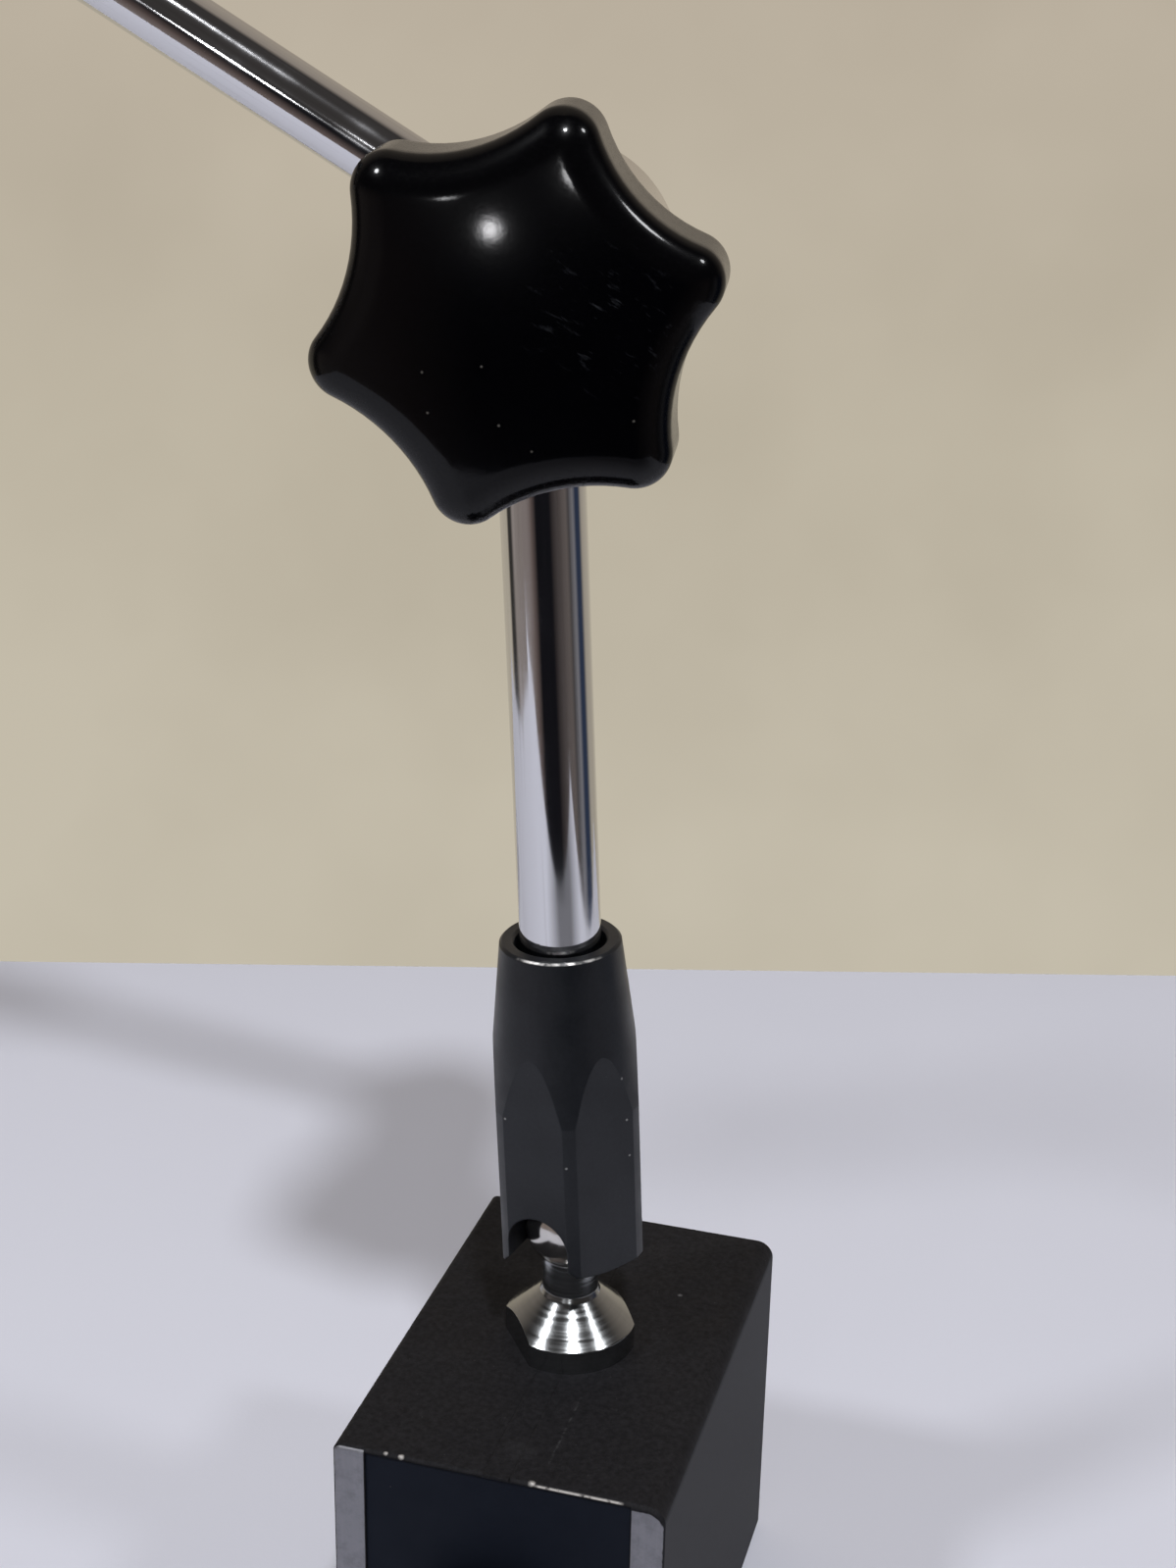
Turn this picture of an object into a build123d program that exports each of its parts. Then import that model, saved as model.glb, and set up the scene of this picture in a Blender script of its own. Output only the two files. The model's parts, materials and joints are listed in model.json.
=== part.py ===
from build123d import *
from dataclasses import dataclass
from math import atan2, cos, degrees, radians, sin, sqrt, tan
import os

# A magnetic indicator stand: a switchable magnetic base, two arms that one star knob locks
# together with both ball joints, and a finely adjustable clamp for a dial indicator.
# Lengths are millimetres, +Z is up, and the origin is the centre of the base's bottom face.
# The front of the stand looks along -Y.

os.makedirs("parts", exist_ok=True)

# Fits and small values that many pieces share
running_gap = 0.05
thread_gap = 0.03
seat_gap = 0.3
cut_overrun = 1.0
fine_edge = 0.4
edge_break = 0.8

# Magnetic base
base_width = 50.0
base_length = 73.0
base_height = 57.5
left_top_round = 1.3
right_top_round = 2.8
end_edge_break = 0.5
spacer_thickness = 4.0
groove_width = 22.0
groove_depth = 7.0
panel_width = 40.0
panel_thickness = 3.0
panel_sink = 0.3
panel_top_margin = 0.5
panel_bottom_margin = 4.0
panel_screw_radius = 1.5
panel_screw_head_radius = 2.9
panel_screw_depth = 7.0
panel_screw_inset = 5.0

# Magnet switch inside the base and its knob on the front
switch_height = 28.5
rotor_radius = 15.0
magnet_thickness = 10.0
rotor_plate_thickness = 3.0
journal_radius = 6.0
bush_wall = 2.0
bush_flange_wall = 2.0
bush_flange_thickness = 1.2
rear_journal_radius = 4.0
rear_journal_length = 2.4
knob_standoff = 0.6
switch_knob_radius = 13.5
switch_knob_skirt = 5.0
grip_length = 24.0
grip_width = 8.0
grip_height = 9.0
grip_round = 2.5
knob_screw_radius = 2.0
knob_screw_head_radius = 3.6
knob_screw_head_height = 2.2
knob_screw_depth = 12.0
knob_screw_socket = 1.5
pointer_width = 1.2
pointer_depth = 0.5

# Ball stud on the base
lower_ball_rise = 21.2
stud_flange_radius = 10.3
stud_flange_height = 3.9
stud_cone_rise = 9.1
stud_across_flats = 17.3
stud_flats_heading = 53.0
stud_thread_radius = 4.0
stud_thread_floor = 1.0
stud_blend_radius = 0.8

# Arms
lower_arm_length = 140.4
lower_lean_side = -2.72
lower_lean_back = -1.03
lower_tube_radius = 6.0
upper_arm_length = 132.0
upper_tube_radius = 5.0
arm_angle = 56.1
tube_wall = 3.0
push_rod_radius = 2.5
push_rod_tip_bevel = 1.5
push_rod_tip_gap = 0.5
push_rod_seat_depth = 3.0
cup_neck_gap = 0.5

# Elbow
hinge_heading = 11.0
knuckle_radius = 17.3
knuckle_outer_depth = 9.0
knuckle_inner_depth = 11.5
knuckle_round = 1.6
knuckle_boss_length = 19.5
boss_wall = 2.6
tube_socket_distance = 12.5
elbow_bore_radius = 9.05
elbow_washer_thickness = 0.8
elbow_washer_radius = 15.5
elbow_washer_bore_radius = 10.5
wedge_slope = 14.0
wedge_rod_radius = 6.5
wedge_nose_length = 6.5
wedge_taper_length = 5.6
wedge_proud = 0.8
bolt_radius = 4.0
bolt_head_radius = 12.5
bolt_head_height = 5.5
bolt_head_round = 2.8
bolt_socket_radius = 3.4
bolt_socket_depth = 3.5
spring_wire_radius = 0.75
spring_mean_radius = 6.3
spring_turns = 4.0

# Star knob
star_tip_radius = 26.62
star_valley_radius = 21.42
star_lobe_radius = 4.85
star_thickness = 13.2
star_dome_height = 3.4
star_edge_round = 3.0
star_draft = 0.8
star_turn = -18.1
star_lobes = 6
star_hollow_wall = 3.0
star_hollow_depth = 7.0
star_hub_radius = 9.5
insert_radius = 6.5
insert_length = 9.0
knob_washer_thickness = 2.0

# Upper ball stud and the indicator holder
holder_fold = 75.0
holder_neck_length = 11.2
holder_flange_radius = 8.0
holder_flange_thickness = 3.0
holder_flats = 13.0
holder_thread_radius = 3.0
holder_thread_length = 8.0
fork_half_width = 8.0
fork_half_depth = 7.0
fork_block_length = 11.0
fork_leg_inner = 3.0
fork_leg_length = 30.0
fork_round = 1.5
ear_length = 10.0
ear_thickness = 3.0
hinge_pin_radius = 1.5
hinge_pin_offset = -3.5
lever_face = 1.6
lever_neck = 5.4
lever_end_length = 16.0
adjust_screw_radius = 2.0
adjust_screw_height = 25.0
adjust_knob_radius = 6.0
adjust_knob_length = 8.0
adjust_knob_gap = 2.0
adjust_spring_height = 14.5
adjust_spring_radius = 1.9
adjust_spring_wire = 0.35
adjust_spring_turns = 4.0
adjust_spring_pocket = 1.6
clamp_screw_radius = 2.5
clamp_screw_knob_radius = 7.0
clamp_screw_knob_length = 9.0
clamp_bore_radius = 4.0
clamp_bore_gap = 0.05
clamp_body_radius = 9.0
clamp_body_length = 16.0
clamp_bore_centre = 8.6
knurl_count = 24
knurl_depth = 0.4


@dataclass
class SocketSizes:
    """Sizes of one ball joint: its ball, neck, sleeve, cup and the tube screwed into the sleeve."""

    ball_radius: float
    neck_radius: float
    spigot_radius: float
    across_flats: float
    corner_radius: float
    skirt: float
    taper_start: float
    length: float
    rim_radius: float
    rim_bore_radius: float
    rim_bore_depth: float
    slot_gap: float
    slot_rise: float
    slot_mouth: float
    cup_end: float
    thread_start: float
    thread_radius: float


lower_socket = SocketSizes(
    ball_radius=7.5, neck_radius=4.3, spigot_radius=2.5, across_flats=21.2, corner_radius=11.7,
    skirt=4.1, taper_start=21.9, length=47.4, rim_radius=9.0, rim_bore_radius=6.75,
    rim_bore_depth=5.0, slot_gap=0.75, slot_rise=0.5, slot_mouth=2.0, cup_end=15.0,
    thread_start=17.0, thread_radius=6.5)
upper_socket = SocketSizes(
    ball_radius=6.5, neck_radius=3.8, spigot_radius=2.2, across_flats=18.3, corner_radius=10.1,
    skirt=3.6, taper_start=18.3, length=41.5, rim_radius=7.7, rim_bore_radius=5.7,
    rim_bore_depth=4.5, slot_gap=0.45, slot_rise=0.4, slot_mouth=1.2, cup_end=13.0,
    thread_start=15.0, thread_radius=5.45)

# Directions and frames of the arms, the elbow and the holder
up = Vector(0, 0, 1)


def heading(angle):
    """Level direction, turned from the front by an angle towards +X."""
    return Vector(sin(radians(angle)), -cos(radians(angle)), 0)


def squared(direction, axis):
    """A direction made square to an axis."""
    return (direction - axis * direction.dot(axis)).normalized()


lower_direction = Vector(tan(radians(lower_lean_side)), tan(radians(lower_lean_back)), 1).normalized()
hinge_direction = squared(heading(hinge_heading), lower_direction)
lower_slot_heading = hinge_heading - 22.8
lower_ball_height = base_height + lower_ball_rise
lower_ball_centre = Vector(0, 0, lower_ball_height)
lower_frame = Plane(
    origin=lower_ball_centre,
    x_dir=squared(heading(lower_slot_heading), lower_direction),
    z_dir=lower_direction)
elbow_centre = lower_ball_centre + lower_direction * lower_arm_length
rod_plane_distance = 2 * knuckle_inner_depth + elbow_washer_thickness
upper_direction = (
    lower_direction * cos(radians(arm_angle))
    + hinge_direction.cross(lower_direction) * sin(radians(arm_angle)))
upper_elbow_centre = elbow_centre - hinge_direction * rod_plane_distance
upper_ball_centre = upper_elbow_centre + upper_direction * upper_arm_length
upper_slot_direction = squared(up * -1, upper_direction)
upper_frame = Plane(origin=upper_ball_centre, x_dir=upper_slot_direction, z_dir=upper_direction * -1)
lower_knuckle_frame = Plane(origin=elbow_centre, x_dir=lower_direction * -1, z_dir=hinge_direction)
upper_knuckle_frame = Plane(
    origin=upper_elbow_centre, x_dir=upper_direction, z_dir=hinge_direction * -1)
fold_axis = upper_direction.cross(upper_slot_direction)
holder_direction = (
    upper_direction * cos(radians(holder_fold)) + upper_slot_direction * sin(radians(holder_fold)))
holder_frame = Plane(
    origin=upper_ball_centre, x_dir=fold_axis.cross(holder_direction), z_dir=holder_direction)


def side_plane(frame):
    """Plane through a frame's Z axis, where a point is (radius, height along the axis)."""
    return Plane(origin=frame.origin, x_dir=frame.x_dir, z_dir=frame.y_dir * -1)


def slot_plane(frame):
    """Plane through a frame's Z axis that faces its X direction."""
    return Plane(origin=frame.origin, x_dir=frame.y_dir, z_dir=frame.x_dir)


def turned(frame, points, mode=Mode.ADD):
    """Turn a closed half outline about a frame's Z axis."""
    with BuildSketch(side_plane(frame)) as half:
        with BuildLine():
            Polyline(*points, close=True)
        make_face()
    revolve(half.sketch, axis=Axis(frame.origin, frame.z_dir), mode=mode)


def bar(frame, low, high, mode=Mode.ADD):
    """Square bar between two opposite corners, given in a frame."""
    size = [upper - lower for lower, upper in zip(low, high)]
    middle = [(upper + lower) / 2 for lower, upper in zip(low, high)]
    with Locations(frame):
        with Locations(tuple(middle)):
            Box(*size, mode=mode)


def rod(frame, radius, start, end, mode=Mode.ADD):
    """Round bar along a frame's Z axis."""
    turned(frame, [(0, start), (radius, start), (radius, end), (0, end)], mode)


def bevelled_rod(frame, radius, start, end, bevel, mode=Mode.ADD):
    """Round bar along a frame's Z axis with both of its ends bevelled."""
    turned(frame, [(0, start), (radius - bevel, start), (radius, start + bevel),
                   (radius, end - bevel), (radius - bevel, end), (0, end)], mode)


def coil(frame, start, rise, turns, radius, wire_radius):
    """Coiled wire around a frame's Z axis."""
    middle = frame.from_local_coords(Vector(0, 0, start))
    with BuildLine() as path:
        Helix(pitch=rise / turns, height=rise, radius=radius, center=middle, direction=frame.z_dir)
    with BuildSketch(Plane(origin=path.line @ 0, z_dir=path.line % 0)) as wire:
        Circle(wire_radius)
    sweep(wire.sketch, path=path.line)


def ball_height(radius, at):
    """Height on a ball's surface at a distance from its axis."""
    return sqrt(radius ** 2 - at ** 2)


def keep(piece, name):
    """Name a finished piece and write it."""
    piece.part.label = name
    export_step(piece.part, f"parts/{name}.step")


# Places inside the base
front_face = -base_length / 2
panel_pocket = panel_thickness + panel_sink
panel_low = panel_bottom_margin
panel_high = base_height - panel_top_margin
panel_height = panel_high - panel_low
rotor_half_length = base_length / 2 - panel_pocket - seat_gap
rotor_bore_radius = rotor_radius + running_gap
switch_frame = Plane(origin=(0, front_face, switch_height), x_dir=(1, 0, 0), z_dir=(0, -1, 0))
panel_centre_height = (panel_low + panel_high) / 2
stud_thread_depth = base_height - switch_height - rotor_radius - stud_thread_floor


def base_hollows():
    """Cut what the base's iron and spacers leave free: bore, groove, panel pockets and stud hole."""
    with BuildSketch(Plane.XZ.offset(front_face - cut_overrun)) as bore:
        with Locations((0, switch_height)):
            Circle(rotor_bore_radius)
    extrude(bore.sketch, amount=base_length + 2 * cut_overrun, mode=Mode.SUBTRACT)
    with BuildSketch(Plane.XZ.offset(front_face - cut_overrun)) as groove:
        with BuildLine():
            Polyline((-groove_width / 2, 0), (0, groove_depth), (groove_width / 2, 0), close=True)
        make_face()
    extrude(groove.sketch, amount=base_length + 2 * cut_overrun, mode=Mode.SUBTRACT)
    for side in (-1, 1):
        pocket_middle = side * (base_length / 2 - panel_pocket / 2 + cut_overrun / 2)
        with Locations((0, pocket_middle, panel_centre_height)):
            Box(panel_width, panel_pocket + cut_overrun, panel_height, mode=Mode.SUBTRACT)
    stud_hole_radius = stud_thread_radius + thread_gap
    rod(Plane.XY, stud_hole_radius, base_height - stud_thread_depth - seat_gap,
        base_height + cut_overrun, Mode.SUBTRACT)


def build_pole_block(side, top_round):
    """Iron pole block on one side of the base, with its outer top edge rounded."""
    inner = spacer_thickness / 2
    outer = base_width / 2
    with BuildPart() as block:
        with BuildSketch(Plane.XZ.offset(front_face)) as section:
            with BuildLine():
                Polyline(
                    (side * (outer - top_round), base_height),
                    (side * inner, base_height),
                    (side * inner, 0),
                    (side * (outer - edge_break), 0),
                    (side * outer, edge_break),
                    (side * outer, base_height - top_round))
                RadiusArc((side * outer, base_height - top_round),
                          (side * (outer - top_round), base_height), -side * top_round)
            make_face()
        extrude(section.sketch, amount=base_length)
        corner_edges = block.edges().filter_by(Axis.Z).filter_by(
            lambda edge: abs(edge.center().X) > outer - edge_break)
        chamfer(corner_edges, end_edge_break)
        base_hollows()
        across = side * (panel_width / 2 - panel_screw_inset)
        for height in (panel_low + panel_screw_inset, panel_high - panel_screw_inset):
            screw_frame = Plane(
                origin=(across, -front_face, height), x_dir=(1, 0, 0), z_dir=(0, 1, 0))
            rod(screw_frame, panel_screw_radius + thread_gap,
                -panel_pocket - panel_screw_depth, cut_overrun, Mode.SUBTRACT)
    return block


def build_spacer(bottom, top):
    """Non-magnetic strip brazed between the pole blocks, over or under the bore."""
    with BuildPart() as spacer:
        bar(Plane.XY, (-spacer_thickness / 2, front_face, bottom),
            (spacer_thickness / 2, -front_face, top))
        base_hollows()
    return spacer


left_pole_block = build_pole_block(-1, left_top_round)
right_pole_block = build_pole_block(1, right_top_round)
upper_spacer = build_spacer(switch_height, base_height)
lower_spacer = build_spacer(0, switch_height)

# Front panel: a plate let into the front face, bored for the switch shaft
bush_outer_radius = journal_radius + running_gap + bush_wall
panel_bore_radius = bush_outer_radius + thread_gap
panel_back = -front_face - panel_pocket
with BuildPart() as front_panel:
    bar(Plane.XY, (-panel_width / 2 + thread_gap, front_face + panel_sink, panel_low + thread_gap),
        (panel_width / 2 - thread_gap, -panel_back, panel_high - thread_gap))
    rod(switch_frame, panel_bore_radius, -panel_pocket - cut_overrun, cut_overrun, Mode.SUBTRACT)

# Rear panel: the same plate, screwed on, with a blind seat for the rotor's rear journal
with BuildPart() as rear_panel:
    bar(Plane.XY, (-panel_width / 2 + thread_gap, panel_back, panel_low + thread_gap),
        (panel_width / 2 - thread_gap, -front_face - panel_sink, panel_high - thread_gap))
    rear_frame = Plane(origin=(0, panel_back, switch_height), x_dir=(1, 0, 0), z_dir=(0, 1, 0))
    rod(rear_frame, rear_journal_radius + running_gap, -cut_overrun, rear_journal_length,
        Mode.SUBTRACT)
    rear_face = Plane(
        origin=(0, -front_face - panel_sink, panel_centre_height), x_dir=(-1, 0, 0), z_dir=(0, 1, 0))
    screw_span = panel_width - 2 * panel_screw_inset
    screw_rise = panel_height - 2 * panel_screw_inset
    head_depth = panel_screw_head_radius - panel_screw_radius
    with Locations(rear_face):
        with GridLocations(screw_span, screw_rise, 2, 2):
            CounterSinkHole(panel_screw_radius + thread_gap, panel_screw_head_radius + thread_gap,
                            panel_thickness, 90)

# Rear panel screws: four slotted countersunk screws
with BuildPart() as rear_panel_screws:
    slot_floor = -head_depth / 2
    for across in (-screw_span / 2, screw_span / 2):
        for rise in (-screw_rise / 2, screw_rise / 2):
            place = rear_face.from_local_coords(Vector(across, rise, 0))
            screw_frame = Plane(origin=place, x_dir=rear_face.x_dir, z_dir=rear_face.z_dir)
            turned(screw_frame, [(0, 0), (panel_screw_head_radius, 0),
                                 (panel_screw_radius, -head_depth),
                                 (panel_screw_radius, -panel_thickness - panel_screw_depth + seat_gap),
                                 (0, -panel_thickness - panel_screw_depth + seat_gap)])
            bar(screw_frame, (-panel_screw_head_radius, -fine_edge, slot_floor),
                (panel_screw_head_radius, fine_edge, cut_overrun), Mode.SUBTRACT)

# Front bush: a flanged brass bearing for the switch shaft
with BuildPart() as front_bush:
    bush_back = -panel_pocket + fine_edge
    bush_bore_radius = journal_radius + running_gap
    flange_radius = bush_outer_radius + bush_flange_wall
    turned(switch_frame, [(bush_bore_radius, bush_back), (bush_outer_radius, bush_back),
                          (bush_outer_radius, -panel_sink), (flange_radius, -panel_sink),
                          (flange_radius, -panel_sink + bush_flange_thickness),
                          (bush_bore_radius, -panel_sink + bush_flange_thickness)])

# Rotor: a magnet slab between two soft iron shoes, with an end plate and journals
rotor_front = -panel_pocket - seat_gap
rotor_back = -base_length + panel_pocket + seat_gap
shoe_front = rotor_front - rotor_plate_thickness
half_magnet = magnet_thickness / 2
magnet_half_width = sqrt(rotor_radius ** 2 - half_magnet ** 2)
with BuildPart() as rotor_magnet:
    bar(switch_frame, (-half_magnet, -magnet_half_width, rotor_back),
        (half_magnet, magnet_half_width, shoe_front))

with BuildPart() as rotor_shoes:
    rod(switch_frame, rotor_radius, rotor_back, shoe_front)
    bar(switch_frame, (-half_magnet, -rotor_radius, rotor_back - cut_overrun),
        (half_magnet, rotor_radius, shoe_front + cut_overrun), Mode.SUBTRACT)

knob_back = -panel_sink + bush_flange_thickness + knob_standoff
knob_face = knob_back + switch_knob_skirt
knob_top = knob_face + grip_height
shaft_end = knob_back + switch_knob_skirt
shaft_flat = journal_radius * cos(radians(45))
with BuildPart() as switch_shaft:
    rod(switch_frame, rotor_radius, shoe_front, rotor_front)
    rod(switch_frame, journal_radius, rotor_front, knob_back)
    bar(switch_frame, (-shaft_flat, -shaft_flat, knob_back), (shaft_flat, shaft_flat, shaft_end))
    rod(switch_frame, knob_screw_radius + thread_gap, knob_top - knob_screw_depth - seat_gap,
        knob_top, Mode.SUBTRACT)

with BuildPart() as rear_journal:
    rod(switch_frame, rear_journal_radius, rotor_back - rear_journal_length, rotor_back)

# Switch knob: a round skirt with a raised grip bar, squared inside for the shaft
with BuildPart() as switch_knob:
    bevelled_rod(switch_frame, switch_knob_radius, knob_back, knob_face, edge_break)
    with BuildSketch(switch_frame.offset(knob_face)) as grip:
        SlotOverall(grip_length, grip_width, rotation=90)
    extrude(grip.sketch, amount=grip_height)
    grip_edges = switch_knob.edges().group_by(Axis.Y)[0]
    fillet(grip_edges, grip_round)
    bar(switch_frame, (-shaft_flat - running_gap, -shaft_flat - running_gap, knob_back - cut_overrun),
        (shaft_flat + running_gap, shaft_flat + running_gap, shaft_end + running_gap), Mode.SUBTRACT)
    head_floor = knob_top - knob_screw_head_height - fine_edge
    rod(switch_frame, knob_screw_head_radius + seat_gap, head_floor, knob_top + cut_overrun,
        Mode.SUBTRACT)
    rod(switch_frame, knob_screw_radius + seat_gap, knob_back, knob_top, Mode.SUBTRACT)
    bar(switch_frame, (-pointer_width / 2, grip_length / 2 - pointer_width, knob_face - pointer_depth),
        (pointer_width / 2, switch_knob_radius + cut_overrun, knob_face + cut_overrun), Mode.SUBTRACT)

# Switch knob screw: a socket head screw down the knob's middle
with BuildPart() as switch_knob_screw:
    head_top = head_floor + knob_screw_head_height
    rod(switch_frame, knob_screw_head_radius, head_floor, head_top)
    rod(switch_frame, knob_screw_radius, knob_top - knob_screw_depth, head_floor)
    with BuildSketch(switch_frame.offset(head_top)) as socket:
        RegularPolygon(knob_screw_socket, 6)
    extrude(socket.sketch, amount=-knob_screw_head_height / 2, mode=Mode.SUBTRACT)

# Lower ball stud: flange, cone and neck turned in one, with two wrench flats
stud_frame = Plane(origin=(0, 0, base_height), x_dir=(1, 0, 0), z_dir=(0, 0, 1))


def neck_end(sizes):
    """Distance below a ball's centre where its neck meets it."""
    return ball_height(sizes.ball_radius, sizes.neck_radius)


with BuildPart() as lower_ball_stud:
    neck_top = lower_ball_height - neck_end(lower_socket)
    cone_top = base_height + stud_cone_rise
    cone_top_radius = lower_socket.neck_radius + stud_blend_radius / 2
    flange_top = base_height + stud_flange_height
    turned(Plane.XY, [
        (0, base_height - stud_thread_depth),
        (stud_thread_radius, base_height - stud_thread_depth),
        (stud_thread_radius, base_height),
        (stud_flange_radius, base_height),
        (stud_flange_radius, flange_top - fine_edge / 2),
        (stud_flange_radius - fine_edge / 2, flange_top),
        (cone_top_radius, cone_top - stud_blend_radius / 2),
        (lower_socket.neck_radius, cone_top + stud_blend_radius / 2),
        (lower_socket.neck_radius, neck_top),
        (lower_socket.spigot_radius, neck_top),
        (lower_socket.spigot_radius, lower_ball_height),
        (0, lower_ball_height)])
    flats_frame = Plane(origin=(0, 0, base_height), x_dir=heading(-stud_flats_heading), z_dir=(0, 0, 1))
    half_flats = stud_across_flats / 2
    for side in (-1, 1):
        near = side * half_flats
        far = side * (stud_flange_radius + cut_overrun)
        bar(flats_frame, (min(near, far), -stud_flange_radius - cut_overrun, 0),
            (max(near, far), stud_flange_radius + cut_overrun, stud_flange_height + cut_overrun
             + stud_flange_radius), Mode.SUBTRACT)


def build_ball(frame, sizes):
    """Hardened ball with a flat and a blind hole on the side of its neck, which is -Z."""
    with BuildPart() as ball:
        with Locations(frame):
            Sphere(sizes.ball_radius)
        rod(frame, sizes.ball_radius, -sizes.ball_radius - cut_overrun, -neck_end(sizes),
            Mode.SUBTRACT)
        rod(frame, sizes.spigot_radius + thread_gap, -sizes.ball_radius - cut_overrun, thread_gap,
            Mode.SUBTRACT)
    return ball


def build_sleeve(frame, sizes):
    """Hexagonal sleeve that tapers to a round rim, with a ball seat and a slot for folding."""
    seat_radius = sizes.ball_radius + running_gap
    slot_radius = sizes.neck_radius + sizes.slot_gap
    with BuildPart() as sleeve:
        with BuildSketch(frame.offset(-sizes.skirt)) as hexagon:
            RegularPolygon(sizes.across_flats / 2, 6, major_radius=False, rotation=30)
        extrude(hexagon.sketch, amount=sizes.skirt + sizes.length)
        turned(frame, [
            (0, -sizes.skirt),
            (sizes.corner_radius - 2 * edge_break, -sizes.skirt),
            (sizes.corner_radius, edge_break - sizes.skirt),
            (sizes.corner_radius, sizes.taper_start),
            (sizes.rim_radius, sizes.length - fine_edge),
            (sizes.rim_radius - fine_edge, sizes.length),
            (0, sizes.length)], Mode.INTERSECT)
        with Locations(frame):
            Sphere(seat_radius, mode=Mode.SUBTRACT)
        rod(frame, seat_radius, 0, sizes.thread_start, Mode.SUBTRACT)
        rod(frame, sizes.thread_radius + thread_gap, 0, sizes.length, Mode.SUBTRACT)
        rim_floor = sizes.length - sizes.rim_bore_depth
        turned(frame, [
            (0, rim_floor),
            (sizes.rim_bore_radius, rim_floor),
            (sizes.rim_bore_radius, sizes.length - fine_edge),
            (sizes.rim_bore_radius + fine_edge + cut_overrun, sizes.length + cut_overrun),
            (0, sizes.length + cut_overrun)], Mode.SUBTRACT)
        with BuildSketch(slot_plane(frame)) as slot:
            with Locations((0, sizes.slot_rise)):
                Circle(slot_radius)
            with Locations((0, sizes.slot_rise - sizes.ball_radius)):
                Rectangle(2 * slot_radius, 2 * sizes.ball_radius)
            with BuildLine():
                Polyline(
                    (-slot_radius, sizes.slot_mouth - sizes.skirt),
                    (-slot_radius - sizes.slot_mouth - cut_overrun, -sizes.skirt - cut_overrun),
                    (slot_radius + sizes.slot_mouth + cut_overrun, -sizes.skirt - cut_overrun),
                    (slot_radius, sizes.slot_mouth - sizes.skirt),
                    close=True)
            make_face()
        extrude(slot.sketch, amount=sizes.corner_radius + cut_overrun, mode=Mode.SUBTRACT)
    return sleeve


def build_thrust_cup(frame, sizes):
    """Cup that the push rod presses on the ball."""
    cup_start = sizes.neck_radius + cup_neck_gap
    with BuildPart() as cup:
        bevelled_rod(frame, sizes.ball_radius, cup_start - fine_edge, sizes.cup_end, fine_edge)
        rod(frame, sizes.ball_radius + cut_overrun, cup_start - cut_overrun, cup_start,
            Mode.SUBTRACT)
        with Locations(frame):
            Sphere(sizes.ball_radius + running_gap, mode=Mode.SUBTRACT)
        rod(frame, push_rod_radius + running_gap, sizes.cup_end - push_rod_seat_depth,
            sizes.cup_end + cut_overrun, Mode.SUBTRACT)
    return cup


def build_tube(frame, sizes, radius, length):
    """Tube with a thicker threaded end in the sleeve and a plain end in the knuckle."""
    thread_end = sizes.length - sizes.rim_bore_depth
    tube_end = length - tube_socket_distance
    bore_radius = push_rod_radius + seat_gap
    with BuildPart() as tube:
        turned(frame, [
            (bore_radius, sizes.thread_start),
            (sizes.thread_radius - fine_edge, sizes.thread_start),
            (sizes.thread_radius, sizes.thread_start + fine_edge),
            (sizes.thread_radius, thread_end),
            (radius, thread_end),
            (radius, tube_end - fine_edge),
            (radius - fine_edge, tube_end),
            (bore_radius, tube_end)])
    return tube


def build_push_rod(frame, sizes, length):
    """Rod inside a tube, from the thrust cup to the wedge in the elbow."""
    rod_start = sizes.cup_end - push_rod_seat_depth
    rod_end = length - wedge_rod_radius - push_rod_tip_gap
    with BuildPart() as push_rod:
        turned(frame, [
            (0, rod_start),
            (push_rod_radius - fine_edge, rod_start),
            (push_rod_radius, rod_start + fine_edge),
            (push_rod_radius, rod_end - push_rod_tip_bevel),
            (push_rod_radius - push_rod_tip_bevel, rod_end),
            (0, rod_end)])
    return push_rod


def build_knuckle(frame, tube_radius):
    """Round half of the elbow, with a boss and a socket for its tube along the frame's X."""
    boss_radius = tube_radius + boss_wall
    boss_frame = Plane(origin=frame.origin, x_dir=frame.y_dir, z_dir=frame.x_dir)
    with BuildPart() as knuckle:
        rod(frame, knuckle_radius, -knuckle_inner_depth, knuckle_outer_depth)
        fillet(knuckle.edges().filter_by(GeomType.CIRCLE), knuckle_round)
        with BuildSketch(boss_frame) as boss:
            Circle(boss_radius)
        extrude(boss.sketch, amount=knuckle_boss_length)
        chamfer(knuckle.faces().filter_by(GeomType.PLANE).sort_by(
            Axis(boss_frame.origin, boss_frame.z_dir))[-1].edges(), edge_break)
        rod(frame, elbow_bore_radius, -knuckle_inner_depth - cut_overrun,
            knuckle_outer_depth + cut_overrun, Mode.SUBTRACT)
        rod(boss_frame, tube_radius + thread_gap, tube_socket_distance,
            knuckle_boss_length + cut_overrun, Mode.SUBTRACT)
        rod(boss_frame, push_rod_radius + seat_gap, 0, tube_socket_distance, Mode.SUBTRACT)
    return knuckle


wedge_collar_start = wedge_taper_length
wedge_end = knuckle_outer_depth + wedge_proud


def wedge_radius(height):
    """Radius of the wedge's cone at a height along its axis, measured from the rod."""
    return wedge_rod_radius + height * tan(radians(wedge_slope))


def build_wedge(frame):
    """Cone that rides on the draw bolt and spreads the push rod outward as the knob is tightened."""
    collar_radius = elbow_bore_radius - running_gap
    with BuildPart() as wedge:
        turned(frame, [
            (bolt_radius + running_gap, -wedge_nose_length),
            (wedge_radius(-wedge_nose_length), -wedge_nose_length),
            (wedge_radius(wedge_collar_start), wedge_collar_start),
            (collar_radius, wedge_collar_start),
            (collar_radius, wedge_end),
            (bolt_radius + running_gap, wedge_end)])
    return wedge


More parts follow.
